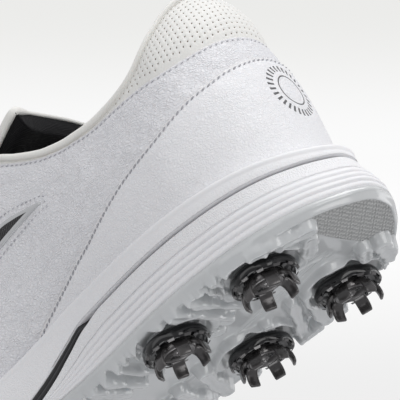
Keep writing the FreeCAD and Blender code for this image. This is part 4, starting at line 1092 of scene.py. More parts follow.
vamp_ob = vamp()
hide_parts("vamp")
_, tg = arch_grid(9.95, 13.7, 60, 24, -2.6)
tn = norm(np.cross(np.gradient(tg, axis=0), np.gradient(tg, axis=1)))
V, a, b, c = shell(tg, tg + tn * 0.8 * np.sign(-tn[:, 24:25, 2:3]))
toe_l = make("toe_lining_cloth", V, [a, b, c], [LINING])
fix(toe_l)
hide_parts("toe_lining")

# eyestays with eyelets
EYES = [9.62, 9.14, 8.66, 8.18, 7.70, 7.22]
EYE_V = 0.925
for label, side in (("medial", 1), ("lateral", -1)):
    us = np.linspace(6.78, 9.93, 150) * side
    if side < 0:
        us = us[::-1]
    lo = pchip([6.7, 7.1, 8.0, 9.3, 10.0], [0.86, 0.82, 0.80, 0.80, 0.83])(np.abs(us))
    st = piece_on_skin("eyestay_leather_" + label, us, lo, np.full(len(us), 0.992), 0.36, 1.35, [SMOOTH, RAW_EDGE],
                       edge=0.45, step=0.9, puff=0.15)
    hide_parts("eyestay_" + label)
    for row, dv in (("low", 0.012), ("top", None)):
        vv = lo + 0.016 if dv else np.full(len(us), 0.972)
        p = layer(us, vv[:, None], np.full((len(us), 1), 1.5))[:, 0]
        q = skin_normal(us, vv[:, None])[:, 0]
        stitches("eyestay_stitches_%s_%s" % (row, label), p[4:-4], q[4:-4], THREAD_LIGHT, 2.1, 1.4, 0.44, 0.22, 0.2)
    Vs, Fs, base = [], [], 0
    for e in EYES:
        c0 = layer(np.array([e * side]), np.array([[EYE_V]]), np.array([[1.5]]))[0, 0]
        n0 = skin_normal(np.array([e * side]), np.array([[EYE_V]]))[0, 0]
        x0 = norm(np.cross(n0, np.array([0.0, 0.0, 1.0])))
        y0 = np.cross(n0, x0)
        prof = [(1.55, -2.6), (1.55, -0.3), (1.7, 0.12), (2.1, 0.28), (2.6, 0.16), (2.75, -0.25), (2.5, -0.4), (1.9, -2.6)]
        aa = np.linspace(0, 2 * np.pi, 20, endpoint=False)
        for rr, hh in prof:
            Vs.append(c0 + n0 * hh + (x0 * np.cos(aa)[:, None] + y0 * np.sin(aa)[:, None]) * rr)
        k = len(prof)
        g = np.arange(k * 20).reshape(k, 20)
        nx = np.roll(g, -1, 0)
        q = np.stack([g, np.roll(g, -1, 1), np.roll(nx, -1, 1), nx], -1).reshape(-1, 4) + base
        Fs.append(q)
        base += k * 20
    ob = make("eyelets_" + label, np.concatenate(Vs), [np.concatenate(Fs)], [EYELET])
    fix(ob)


# side mark: a plain tapered blade, moulded frame and ribbed inlay, stitched round
BL_LO, BL_HI, BI_LO, BI_HI = blade_lo, blade_hi, blade_in_lo, blade_in_hi
for label, side in (("medial", 1), ("lateral", -1)):
    us = np.linspace(5.62, 8.0, 110) * side
    if side < 0:
        us = us[::-1]

    def dish(us_, v_, s_, far_, near_):
        return -0.35 * smooth(1.3, 2.2, near_)

    fr = piece_on_skin("side_blade_" + label, us, BL_LO(np.abs(us)), BL_HI(np.abs(us)), 0.1, 1.0, [FRAME_TPU],
                       edge=0.5, step=0.5, extra=dish)
    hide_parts("side_frame_" + label)
    us = np.linspace(5.80, 7.8, 100) * side
    if side < 0:
        us = us[::-1]
    il = piece_on_skin("side_blade_inlay_" + label, us, BI_LO(np.abs(us)), BI_HI(np.abs(us)), 0.4, 0.98, [INLAY],
                       edge=0.25, step=0.5)
    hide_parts("side_inlay_" + label)
    us = np.linspace(5.56, 8.05, 120)
    mid = 0.5 * (BL_LO(us) + BL_HI(us))
    grow = 1.0
    pts, nrs = [], []
    for curve, sg in ((BL_HI, 1), (BL_LO, -1)):
        vv = curve(us) + sg * 0.030
        pp = layer(side * us, vv[:, None], np.full((len(us), 1), 0.45))[:, 0]
        qq = skin_normal(side * us, vv[:, None])[:, 0]
        pts.append(pp if sg > 0 else pp[::-1])
        nrs.append(qq if sg > 0 else qq[::-1])
    stitches("blade_stitches_" + label, np.concatenate(pts[::-1]), np.concatenate(nrs[::-1]), THREAD_LIGHT,
             1.9, 1.15, 0.42, 0.22, 0.25)


# tongue: padded, rows run from the throat up over the instep
def tongue():
    rows = []
    cols = 41
    for u in (10.25, 9.9, 9.5, 9.1, 8.7, 8.3, 7.9, 7.5, 7.1, 6.9):
        lo = 0.80 if u < 7.3 else 0.76
        if u > 9.95:
            lo = 0.84
        vs = np.linspace(lo, 0.985, 10)
        dep = 4.4 if u <= 9.95 else 5.6
        a = layer(np.array([u]), vs[None], np.full((1, 10), -dep))[0]
        b = layer(np.array([-u]), vs[None, ::-1], np.full((1, 10), -dep))[0]
        gap = np.linalg.norm(a[-1] - b[0])
        mid = 0.5 * (a[-1] + b[0]) + np.array([0, 0, 0.16 * gap])
        q1 = 0.75 * a[-1] + 0.25 * b[0] + np.array([0, 0, 0.12 * gap])
        q3 = 0.25 * a[-1] + 0.75 * b[0] + np.array([0, 0, 0.12 * gap])
        line = np.concatenate([a, [q1, mid, q3], b])
        rows.append(resample_n(line, cols))
    for xc, zc, half, sag_m, sag_l in ((-33.5, 104.4, 17.6, 4.6, 5.6), (-42.0, 106.4, 20.0, 3.6, 5.6),
                                       (-48.5, 107.2, 22.2, 2.4, 5.6), (-52.4, 107.4, 23.2, 1.9, 5.6)):
        y = np.linspace(1, -1, cols)
        sag = np.where(y > 0, sag_m, sag_l)
        rows.append(np.stack([xc - (2.0 * np.abs(y) ** 2 if xc < -45 else 0 * y), half * y, zc - sag * np.abs(y) ** 2.2], -1))
    rows = np.array(rows)
    # smooth along the length
    k = len(rows)
    key = np.arange(k, dtype=float)
    tt = np.linspace(0, k - 1, 110)
    g = np.empty((len(tt), cols, 3))
    for d in range(3):
        for c in range(cols):
            g[:, c, d] = pchip(list(key), list(rows[:, c, d]))(tt)
    for _ in range(6):
        g[1:-1] = 0.5 * g[1:-1] + 0.25 * (g[2:] + g[:-2])
    n_ = norm(np.cross(np.gradient(g, axis=0), np.gradient(g, axis=1)))
    n_ = np.where(n_[..., 2:3] < 0, -n_, n_)
    return g, n_


def resample_n(line, n):
    seg = np.linalg.norm(np.diff(line, axis=0), axis=1)
    cum = np.concatenate([[0], np.cumsum(seg)])
    s = np.linspace(0, cum[-1], n)
    return np.stack([np.interp(s, cum, line[:, d]) for d in range(3)], -1)


TG, TN = tongue()
tr = np.linspace(0, 1, TG.shape[0])[:, None]
tc_ = np.linspace(-1, 1, TG.shape[1])[None]
edge_fall = 1 - np.maximum(np.abs(tc_) ** 8, smooth(0.965, 1.0, tr))
pad = 5.2 * edge_fall ** 0.5 * smooth(0.0, 0.35, tr) + 1.0
chan = sum(np.exp(-((tr - c) / 0.012) ** 2) for c in (0.80, 0.88))
top_off = 1.2 * edge_fall ** 0.5 - 0.5 * chan * edge_fall
face_v = TG + TN * (top_off + 0.12 * vnoise(TG * 0.25, 41))[..., None]
V, a, b, c = shell(face_v, TG - TN * 0.6)
tongue_face = make("tongue_face_leather", V, [a, b, c], [SMOOTH], body=None, attrs={"edge": np.full(len(V), 3.0)})
fix(tongue_face)
V, a, b, c = shell(TG - TN * 0.65, TG - TN * (0.75 + pad + 0.15 * vnoise(TG * 0.2, 43))[..., None])
tongue_back = make("tongue_lining_padded", V, [a, b, c], [LINING], body=None)
fix(tongue_back)
# white binding round the tongue's free edge
rim = np.concatenate([TG[40:, 0], TG[-1, 1:-1], TG[40:, -1][::-1]])
rn = np.concatenate([TN[40:, 0], TN[-1, 1:-1], TN[40:, -1][::-1]])
path = resample(np.concatenate([rim - rn * 0.5, rn], 1), 1.2)
pp, uu_ = path[:, :3], norm(path[:, 3:])
for _ in range(4):
    pp[1:-1] = 0.5 * pp[1:-1] + 0.25 * (pp[2:] + pp[:-2])
thin = 0.60 + 0.75 * smooth(13.0, 21.0, pp[:, 1])
V, polys = sweep("t", pp, uu_, ring(14, 1.0, 1.15, 0.8), None, None, scale=thin)
tongue_edge = make("tongue_binding", V, polys, [BINDING], body=None, attrs={"edge": np.full(len(V), 3.0)})
fix(tongue_edge)
for ob in (tongue_face, tongue_back, tongue_edge):
    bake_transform(ob)
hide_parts("tongue_face")
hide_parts("tongue_lining", "tongue_foam")


# laces: flat woven cord, one straight bar across each pair of eyelets
def lace_strip(name, pts, ups, width=6.0, thick=1.15):
    d = np.concatenate([np.asarray(pts, float), np.asarray(ups, float)], 1)
    n0 = len(d)
    key = list(np.concatenate([[0], np.cumsum(np.linalg.norm(np.diff(d[:, :3], axis=0), axis=1))]))
    L = key[-1]
    tt = np.linspace(0, L, max(12, int(L / 1.0)))
    q = np.stack([spline(key, list(d[:, i]))(tt) for i in range(6)], -1)
    p, u = q[:, :3], norm(q[:, 3:])
    prof = ring(16, width / 2, thick / 2, 0.62)
    V, polys = sweep(name, p, u, prof, None, None)
    k = 16
    uvv = np.zeros((len(V), 2))
    ang = np.linspace(0, 2 * np.pi, k, endpoint=False)
    uvv[:len(p) * k, 0] = np.repeat(tt, k)
    uvv[:len(p) * k, 1] = np.tile(prof[:, 0], len(p))
    ob = make(name, V, polys, [LACE], uv=uvv)
    fix(ob)
    return ob


def eye(u, side, off=1.6):
    a = np.array([u * side])
    return layer(a, np.array([[EYE_V]]), np.array([[off]]))[0, 0], skin_normal(a, np.array([[EYE_V]]))[0, 0]


def throat(u, lift):
    a = TG[:, TG.shape[1] // 2]
    x = 0.5 * (eye(u, 1)[0][0] + eye(u, -1)[0][0])
    i = int(np.argmin(np.abs(a[:, 0] - x)))
    return a[i] + TN[i, TG.shape[1] // 2] * lift, TN[i, TG.shape[1] // 2]


for i, u in enumerate(EYES):
    # the bar that shows on top, from eyelet to eyelet
    (pm, nm), (pl, nl) = eye(u, 1, 0.6), eye(u, -1, 0.6)
    (qm, _), (ql, _) = eye(u, 1, 2.6), eye(u, -1, 2.6)
    am = layer(np.array([u]), np.array([[0.965]]), np.array([[2.7]]))[0, 0]
    al = layer(np.array([-u]), np.array([[0.965]]), np.array([[2.7]]))[0, 0]
    c, cn = throat(u, 3.4)
    span = np.linalg.norm(am - al)
    mid = 0.5 * (am + al) + np.array([0, 0, 0.13 * span + 0.4])
    if mid[2] < c[2]:
        mid = np.array([mid[0], mid[1], c[2]])
    pts = [pm - nm * 1.5, qm, am, 0.5 * (am + mid) + np.array([0, 0, 0.045 * span]), mid,
           0.5 * (al + mid) + np.array([0, 0, 0.045 * span]), al, ql, pl - nl * 1.5]
    ups = [nm * 0.4 + np.array([0, -0.8, 0.0]), nm, nm * 0.7 + cn * 0.3, cn * 0.8 + nm * 0.2, cn, cn * 0.8 + nl * 0.2, nl * 0.7 + cn * 0.3, nl, nl * 0.4 + np.array([0, 0.8, 0.0])]
    lace_strip("lace_bar_%d" % (i + 1), pts, ups)
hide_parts("lace")


# ---------------------------------------------------------------- sole
def closed_outline(n=520):
    pts = np.array(OUTLINE + OUTLINE[:3], float)
    pre = np.array(OUTLINE[-3:], float)
    allp = np.concatenate([pre, pts])
    key = [0.0]
    for a, b in zip(allp[:-1], allp[1:]):
        key.append(key[-1] + float(np.hypot(*(b - a))))
    sx, sy = spline(key, list(allp[:, 0])), spline(key, list(allp[:, 1]))
    a, b = key[3], key[3 + len(OUTLINE)]
    s = np.linspace(a, b, n, endpoint=False)
    p = np.stack([sx(s), sy(s)], -1)
    e = 0.05
    t = np.stack([sx(s + e) - sx(s - e), sy(s + e) - sy(s - e)], -1)
    t = t / np.linalg.norm(t, axis=1, keepdims=True)
    # the list starts at the heel and runs along the medial side, so outwards is to the left of travel
    nrm = np.stack([-t[:, 1], t[:, 0]], -1)
    cen = p.mean(0)
    if np.mean(np.sum(nrm * (p - cen), 1)) < 0:
        nrm = -nrm
    return p, nrm


OP, ON = closed_outline()


def lean(x, z):
    """How far the side wall leans in at the rear, mm."""
    return heel_taper(x) * smooth(16.0, 31.0, z)


def ring_rows(rows):
    """rows: (offset outwards (n,), z (n,)) -> n x k x 3 points."""
    cols = []
    for d, z in rows:
        q = OP + ON * (np.asarray(d, float) - lean(OP[:, 0], z)).reshape(-1, 1)
        cols.append(np.stack([q[:, 0], q[:, 1], np.broadcast_to(z, len(q))], -1))
    return np.stack(cols, 1)


X = OP[:, 0]
TOP = lip_top(X)
LOW = carrier_low(X)
wedge_f = 1 - smooth(-62, -45, X)            # 1 where the heel wedge's groove closes under the lip
rib_f = 1 - smooth(-75, -5, X)               # ribs fade forwards

# carrier: lip bead, sandy face, underside, inner face
rows, sand = [], []


def row(d, z, s=0.0):
    rows.append((np.broadcast_to(np.asarray(d, float), X.shape), np.broadcast_to(np.asarray(z, float), X.shape)))
    sand.append(np.broadcast_to(np.asarray(s, float), X.shape))


row(-13.0, TOP - 7.0)
row(-12.0, TOP - 1.2)
row(-7.0, TOP - 0.55)
row(-3.2, TOP - 0.25)
row(-1.5, TOP - 0.05)
row(-0.75, TOP)
row(-0.25, TOP - 0.18)
row(0.08, TOP - 0.55)
row(0.18, TOP - 1.0)
row(0.10, TOP - 1.45)
row(-0.10, TOP - 1.85)
row(-0.16, TOP - 2.2, 0.3)
span_ = TOP - 2.2 - LOW
foot = 0.55
for f in np.linspace(0.06, 0.94, 16):
    z = TOP - 2.2 - span_ * f
    fwd = 1 - wedge_f
    faint = 0.0
    # faint ribs also run on below the shank on the forward part; they are not drawn here
    zz = (z - out_top(X))
    belly = 0.16 * np.sin(np.pi * f)
    row(-0.16 + belly, z, 0.55 + 0.1 * f)
row(-0.12, LOW + 0.55, 0.5)
row(-0.32, LOW + 0.22, 0.3)
row(-0.75, LOW + 0.02)
row(-2.0, LOW)
row(-13.0, LOW)
G = ring_rows(rows)
n, k = G.shape[:2]
carrier = make("midsole_carrier_foam", G.reshape(-1, 3), [quads(n, k, 0, wrap_n=True, wrap_m=True)], [MIDSOLE],
               attrs={"sand": np.stack(sand, 1).ravel()})
fix(carrier)
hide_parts("midsole_carrier")

# heel wedge: sandy band, four ribs, foot
keep_i = np.where(X < -6.0)[0]
# roll so that the run starts on the medial side, goes round the heel and ends on the lateral side
start = np.where((X < -6.0) & (np.roll(X, 1) >= -6.0))[0][0]
order = (start + np.arange(len(keep_i))) % len(X)
XX = X[order]
T_, B_ = lower_top(XX) + 0.62 * (1 - smooth(-58.0, -50.0, XX)), out_top(XX) + 0.05
Hh = T_ - B_
rf = rib_f[order]
lev = [0.605, 0.45, 0.30, 0.155]
cols, sand = [], []
zf = np.concatenate([[1.0, 0.985, 0.955], np.linspace(0.93, 0.66, 8), np.linspace(0.645, 0.10, 64), [0.07, 0.04, 0.015, 0.0]])


def dprof(f, z):
    d = np.full_like(z, 0.0)
    for g in lev:
        zg = B_ + g * Hh
        d = d - 0.62 * rf * np.exp(-((z - zg) / 0.30) ** 2)
    inrib = smooth(0.62, 0.60, f) if False else (1.0 if f < 0.605 else 0.0)
    if inrib:
        # crown between two grooves
        edges = [0.605, 0.45, 0.30, 0.155, 0.0]
        for a_, b_ in zip(edges[:-1], edges[1:]):
            if b_ <= f <= a_:
                d = d + rf * 0.30 * math.sin(math.pi * (f - b_) / (a_ - b_)) * (1.0 if b_ > 0 else 0.4)
    return d


for f in zf:
    z = B_ + f * Hh
    d = dprof(f, z) - 0.30
    if f >= 0.985:
        d = d - (f - 0.955) * 22
    if f <= 0.015:
        d = d - 0.5
    s = 1.0 if f > 0.63 else (0.0 if f > 0.10 else 0.3)
    q = OP[order] + ON[order] * (d - lean(XX, z))[:, None]
    cols.append(np.stack([q[:, 0], q[:, 1], z], -1))
    sand.append(np.full(len(z), s))
for dd, ff in ((-13.0, 0.0), (-13.0, 1.0)):
    q = OP[order] + ON[order] * dd
    cols.append(np.stack([q[:, 0], q[:, 1], B_ + ff * Hh], -1))
    sand.append(np.zeros(len(XX)))
G = np.stack(cols, 1)
n, k = G.shape[:2]
V = np.concatenate([G.reshape(-1, 3), G[0].mean(0)[None], G[-1].mean(0)[None]])
j = np.arange(k)
j2 = (j + 1) % k
polys = [quads(n, k, 0, wrap_m=True), np.stack([j2, j, np.full(k, n * k)], -1),
         np.stack([(n - 1) * k + j, (n - 1) * k + j2, np.full(k, n * k + 1)], -1)]
wedge = make("midsole_heel_foam", V, polys, [MIDSOLE],
             attrs={"sand": np.concatenate([np.stack(sand, 1).ravel(), [0, 0]])})
fix(wedge)
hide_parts("midsole_heel_wedge")

# shank: black plate that shows between the two foams, with a shallow moulded groove in its middle that is painted a
# lighter grey as a highlight line
order2 = (start + np.arange(len(keep_i))) % len(X)
XX = X[order2]
low_, high_ = np.maximum(lower_top(XX), out_top(XX) + 0.1) + 0.02, LOW[order2] - 0.02
deep = np.interp(XX, [-150, -56, -47, -6], [-7.0, -7.0, -0.45, -0.45]) - lean(XX, 29.0)
gap_ = high_ - low_
prof = [(-13.0, 0.0), (0.0, 0.0), (0.10, 0.20), (0.12, 0.40), (-0.02, 0.45), (-0.02, 0.55), (0.12, 0.60), (0.10, 0.80), (0.0, 1.0), (-13.0, 1.0)]
cols = []
for d, f in prof:
    q = OP[order2] + ON[order2] * (np.full(len(XX), d) - 1.0 if d < -5 else deep + d)[:, None]
    cols.append(np.stack([q[:, 0], q[:, 1], low_ + f * gap_], -1))
G = np.stack(cols, 1)
n, k = G.shape[:2]
V = np.concatenate([G.reshape(-1, 3), G[0].mean(0)[None], G[-1].mean(0)[None]])
j = np.arange(k)
j2 = (j + 1) % k
body_q = quads(n, k, 0, wrap_m=True)
# the middle band of faces takes the lighter grey: a painted highlight line
stripe = (np.arange(len(body_q)) % k) == 4
polys = [body_q[~stripe], body_q[stripe], np.stack([j2, j, np.full(k, n * k)], -1),
         np.stack([(n - 1) * k + j, (n - 1) * k + j2, np.full(k, n * k + 1)], -1)]
shank = make("shank_plate_moulded", V, polys, [SHANK, SHANK_PAINTED_HIGHLIGHT, SHANK, SHANK])
fix(shank)
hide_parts("shank_plate")


# outsole: sculpted traction face
def outline_y(xs, side):
    """The outline's y on one side, from its crossings with each x."""
    a, b = OP, np.roll(OP, -1, 0)
    out = np.empty(len(xs))
    for i, x in enumerate(xs):
        m = ((a[:, 0] - x) * (b[:, 0] - x) <= 0) & (a[:, 0] != b[:, 0])
        t = (x - a[m, 0]) / (b[m, 0] - a[m, 0])
        y = a[m, 1] + t * (b[m, 1] - a[m, 1])
        out[i] = y.max() if side > 0 else y.min()
    return out


def cap(px, py, x0, y0, x1, y1):
    """Distance to a plan segment."""
    dx, dy = x1 - x0, y1 - y0
    L = dx * dx + dy * dy + 1e-9
    t = np.clip(((px - x0) * dx + (py - y0) * dy) / L, 0, 1)
    return np.hypot(px - x0 - t * dx, py - y0 - t * dy), t


def bump_of(d, r, soft):
    return 1 - smooth(r - soft, r + soft, d)


def smax(a, b, k=0.9):
    h = np.clip(0.5 + 0.5 * (a - b) / k, 0, 1)
    return b * (1 - h) + a * h + k * h * (1 - h)


# raised walls and lugs: (x0, y0, x1, y1, radius, height), plan mm
BARS = [
    # heel, medial island: rim along the edge, inner horn, floor between
    (-132.0, 23.6, -116.5, 32.8, 2.5, 3.7), (-128.2, 18.6, -121.4, 11.4, 2.7, 3.5), (-126.2, 23.0, -119.6, 17.0, 4.4, 2.0),
    (-113.0, 34.2, -108.0, 34.6, 1.4, 2.5), (-106.4, 34.4, -105.6, 33.6, 1.5, 2.4), (-101.3, 34.6, -100.9, 33.4, 1.7, 2.7),
    # medial edge between the two rear spikes: thin walls round two pockets, then a broad bar
    (-97.6, 33.0, -96.4, 25.0, 0.9, 2.9), (-90.4, 34.2, -93.2, 10.4, 1.15, 3.4), (-97.0, 33.4, -91.0, 34.4, 0.8, 2.2),
    (-83.0, 34.0, -84.6, 8.4, 2.5, 3.1), (-77.8, 8.6, -79.4, 7.0, 2.5, 3.3),
    # heel, lateral
    (-131.0, -14.2, -127.4, -23.4, 3.1, 4.7), (-126.6, -11.0, -123.2, -15.2, 2.3, 3.9), (-121.4, -28.0, -119.6, -26.4, 2.2, 3.6),
    (-102.2, -11.4, -91.4, -33.0, 2.7, 4.4), (-96.4, -10.0, -82.0, -32.6, 2.0, 3.7), (-99.0, -31.6, -98.0, -33.0, 1.9, 4.9),
    (-87.4, -33.4, -80.0, -34.0, 1.8, 4.7), (-84.0, -12.0, -82.6, -14.4, 1.9, 3.2),
    # waist, medial
    (-72.1, 33.0, -70.9, 32.2, 1.9, 2.9), (-64.6, 31.4, -63.4, 28.4, 1.0, 2.4), (-58.2, 30.4, -57.2, 27.0, 1.0, 2.4),
    (-55.6, 8.6, -53.8, 29.8, 0.95, 3.3), (-46.6, 28.0, -48.2, 9.0, 1.2, 3.3), (-54.4, 30.0, -47.0, 28.4, 0.8, 2.1),
    (-40.2, 26.0, -41.4, 10.0, 1.9, 2.7), (-33.0, 24.6, -34.0, 11.0, 1.0, 2.2), (-26.0, 24.4, -27.0, 12.0, 1.6, 2.1),
    # waist, lateral
    (-56.8, -10.6, -49.2, -30.0, 2.7, 4.3), (-61.0, -31.6, -58.4, -33.0, 2.0, 4.6), (-44.6, -12.4, -41.2, -32.4, 2.0, 3.6),
    (-36.0, -14.0, -33.6, -32.6, 1.6, 3.0), (-27.0, -16.0, -25.0, -34.0, 1.6, 2.6),
    # forefoot
    (-14.0, -35.0, -12.0, -20.0, 2.4, 3.5), (4.0, 28.5, 6.5, 13.0, 2.3, 3.4), (8.0, -40.0, 10.0, -25.0, 2.6, 4.1),
    (15.5, 35.0, 19.5, 19.0, 2.2, 3.9), (10.0, 7.0, 16.0, -8.0, 2.0, 2.9), (57.0, 48.0, 58.0, 33.0, 2.6, 4.3),
    (55.5, -49.0, 57.0, -33.0, 2.6, 4.3), (52.0, 13.0, 58.5, 2.0, 2.4, 3.6), (52.0, -7.0, 58.5, -18.0, 2.4, 3.6),
    (67.0, 8.0, 73.0, -4.0, 2.2, 3.4), (104.0, 47.0, 105.0, 33.0, 2.6, 4.1), (100.0, -45.0, 102.0, -29.0, 2.6, 4.1),
    (95.0, 12.0, 101.0, 0.0, 2.4, 3.4), (108.0, 24.0, 112.0, 10.0, 2.3, 3.4), (109.0, -8.0, 113.0, -22.0, 2.3, 3.4),
    (124.0, 40.0, 127.5, 27.0, 2.2, 3.2), (118.0, -35.0, 121.0, -24.0, 2.2, 3.2), (125.0, 14.0, 128.5, 0.0, 2.1, 2.8),
    (137.0, 23.0, 139.5, 12.0, 1.9, 2.3), (134.0, -16.0, 136.5, -6.0, 1.9, 2.3),
]
POCKETS = [  # recesses along the edge: (x0, y0, x1, y1, radius, depth)
    (-94.6, 31.0, -94.8, 27.2, 1.9, 1.5), (-88.0, 31.0, -88.9, 13.0, 1.1, 1.3), (-104.0, 33.4, -103.6, 32.0, 1.1, 1.3),
    (-123.0, 29.0, -119.0, 28.0, 1.3, 1.0), (-61.2, 29.6, -60.6, 27.0, 1.5, 1.5), (-50.8, 26.6, -51.6, 12.0, 1.9, 1.7),
    (-44.0, 24.6, -44.8, 12.0, 1.0, 1.2), (-37.0, 23.6, -37.6, 12.0, 1.4, 1.3), (-29.6, 22.6, -30.2, 13.0, 1.4, 1.2),
    (-105.0, -31.0, -104.0, -29.0, 1.6, 1.5), (-76.0, -34.0, -70.0, -34.4, 1.0, 1.0), (-66.0, -33.0, -65.4, -30.0, 1.5, 1.5),
    (-39.0, -29.0, -38.4, -17.0, 1.3, 1.3), (-31.0, -29.0, -30.0, -18.0, 1.4, 1.3), (-20.0, -32.0, -19.0, -22.0, 1.6, 1.3),
]


def outsole_height(px, py, edge):
    """How far the tread stands down from the plate, mm. edge is the distance to the outline."""
    h = 0.16 * vnoise(np.stack([px * 0.10, py * 0.10, px * 0], -1), 51)
    # edge bead and the step inside it
    h = h + 0.75 * np.exp(-((edge - 1.3) / 0.75) ** 2) + 0.25 * (1 - smooth(3.4, 4.2, edge))
    # scalloped pedestal round each spike, with a moat and a lip
    for i, (nm, sx, sy) in enumerate(SPIKES):
        dx, dy = px - sx, py - sy
        r = np.hypot(dx, dy)
        a = np.arctan2(dy, dx)
        lob = 1.15 * np.cos(6 * a + i * 1.1) + 0.7 * np.cos(3 * a + 0.7 + i)
        R = 14.0 + lob
        top = 2.3 + 0.55 * np.cos(6 * a + i * 1.1) + 0.5 * np.exp(-((r - R + 0.9) / 0.6) ** 2)
        isl = (1 - smooth(R - 0.5, R + 0.9, r)) * top
        h = smax(h, isl, 0.45)
        h = np.where(r < 13.2, h * smooth(11.2, 12.4, r) + (-0.2) * (1 - smooth(11.2, 12.4, r)), h)
    for x0, y0, x1, y1, rr, hh in BARS:
        m = (np.abs(px - 0.5 * (x0 + x1)) < 20) & (np.abs(py - 0.5 * (y0 + y1)) < 28)
        if not m.any():
            continue
        d, t = cap(px[m], py[m], x0, y0, x1, y1)
        wob = 0.30 * np.cos(t * 11 + x0) + 0.18 * np.cos(t * 23 + y0)
        R = rr + wob
        # flat top with a slight hollow, steep rounded sides
        b = (1 - smooth(R - 0.55, R + 0.95, d)) * hh
        b = b - 0.45 * np.clip(rr - 1.2, 0, 1) * (1 - smooth(0.0, R * 0.62, d))
        for nm, sx, sy in SPIKES:
            rs = np.hypot(px[m] - sx, py[m] - sy)
            b = b * smooth(11.4, 12.6, rs)
        h[m] = smax(h[m], b, 0.42)
    for x0, y0, x1, y1, rr, hh in POCKETS:
        d, t = cap(px, py, x0, y0, x1, y1)
        h = h - hh * (1 - smooth(rr - 0.45, rr + 0.45, d)) + 0.42 * np.exp(-((d - rr - 0.75) / 0.38) ** 2)
    # central channel with two long lines
    ch = smooth(-124, -112, px) * (1 - smooth(-22, -6, px))
    ya, yb = -3.0 - 0.143 * (px + 104.8), -0.7 + 0.261 * (px + 114.4)
    inside = smooth(0.0, 1.2, yb + 3.4 - py) * smooth(0.0, 1.2, py - ya + 3.4)
    h = h - 0.5 * ch * inside * (1 - smooth(0.6, 1.6, h))
    for yy in (ya, yb):
        h = h + 0.40 * np.exp(-((py - yy) / 0.55) ** 2) * ch * (1 - smooth(0.8, 1.8, h))
    # flow lines across the forefoot
    fl = np.maximum(np.sin(px * 0.42 + 3.0 * np.sin(py * 0.05)), 0) ** 3
    h = h + 0.35 * fl * smooth(-2, 14, px) * (1 - smooth(120, 136, px)) * (1 - smooth(12, 26, np.abs(py)) * 0.4)
    # flat seat for the end pad
    pad = (1 - smooth(-129.0, -127.0, px)) * smooth(2.2, 3.2, edge) * (1 - smooth(1.0, 2.0, h))
    h = h * (1 - pad)
    return h * smooth(0.15, 1.9, edge)


def outsole():
    nx, ny = ((640, 210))
    th = np.linspace(0, np.pi, nx)
    f_ = 0.5 - 0.5 * (np.cos(th) * 0.35 + np.linspace(1, -1, nx) * 0.65)
    x0, x1 = OP[:, 0].min() + 0.04, OP[:, 0].max() - 0.04
    xs = x0 + (x1 - x0) * (0.75 * f_ + 0.25 * f_ ** 1.6)
    ym, yl = outline_y(xs, 1), outline_y(xs, -1)
    c = np.linspace(-1, 1, ny)
    c = np.sign(c) * (1 - (1 - np.abs(c)) ** 1.0)
    mid, half = 0.5 * (ym + yl), np.maximum(0.5 * (ym - yl) - 0.25, 0.05)
    PY = mid[:, None] + half[:, None] * c[None]
    PX = np.broadcast_to(xs[:, None], PY.shape).copy()
    from mathutils import kdtree
    # distance to the outline
    flat = np.stack([PX.ravel(), PY.ravel()], -1)
    seg_a = OP
    best = np.full(len(flat), 1e9)
    step = 4000
    for a in range(0, len(flat), step):
        q = flat[a:a + step]
        d = np.hypot(q[:, None, 0] - OP[None, :, 0], q[:, None, 1] - OP[None, :, 1])
        near = d.argmin(1)
        got = []
        for other in (near - 1, (near + 1) % len(OP)):
            p0, p1 = OP[near], OP[other]
            e = p1 - p0
            t = np.clip(np.sum((q - p0) * e, 1) / np.sum(e * e, 1), 0, 1)[:, None]
            got.append(np.hypot(*(q - p0 - t * e).T))
        best[a:a + step] = np.minimum(*got)
    edge = best.reshape(PX.shape)
    h = outsole_height(PX, PY, edge)
    for _ in range(1):
        h[1:-1, 1:-1] = 0.8 * h[1:-1, 1:-1] + 0.05 * (h[2:, 1:-1] + h[:-2, 1:-1] + h[1:-1, 2:] + h[1:-1, :-2])
    roll = 1.3 * (1 - smooth(0.0, 1.8, edge)) ** 2
    Z = out_low(PX) - h + roll
    bot = np.stack([PX, PY, Z], -1)
    top = np.stack([PX, PY, out_top(PX)], -1)
    V, a, b, r = shell(bot, top)
    ob = make("outsole_tread", V, [a, b, r], [TPU])
    fix(ob)
    return ob


out_ob = outsole()
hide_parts("outsole")


# heel end pad: dotted texture as geometry
def heel_pad():
    side_m = pchip([-147.2, -146.4, -143.2, -137.6, -131.0, -127.6], [7.2, 10.4, 17.4, 23.9, 25.9, 22.6])
    side_l = pchip([-147.2, -144.9, -141.2, -136.4, -131.0, -127.6], [2.8, -3.2, -9.6, -15.9, -20.8, -20.2])
    xs = np.linspace(-147.2, -127.6, 84)
    ym, yl = side_m(xs), side_l(xs)
    c = np.linspace(0, 1, 190)
    PY = yl[:, None] + (ym - yl)[:, None] * c[None]
    front = -127.4 - 1.4 * (PY / 18.0) ** 2
    PX = xs[:, None] + (front - (-127.5)) * smooth(-136, -127.5, xs)[:, None]
    dot = np.maximum(np.cos(PX * 2 * np.pi / 1.25) * np.cos(PY * 2 * np.pi / 1.25), -0.2)
    k = np.abs(2 * c - 1)[None]
    fall = (smooth(-0.5, 3, np.arange(len(xs)))[:, None] * smooth(-0.5, 3, np.arange(len(xs))[::-1])[:, None]
            * (1 - smooth(0.965, 1.0, k)))
    Z = out_low(PX) - (0.75 + 0.24 * dot) * fall + 0.15
    bot = np.stack([PX, PY, Z], -1)
    top = np.stack([PX, PY, out_low(PX) + 0.6], -1)
    V, a, b, r = shell(bot, top)
    ob = make("heel_end_pad", V, [a, b, r], [HEEL_PAD])
    fix(ob)
    return ob


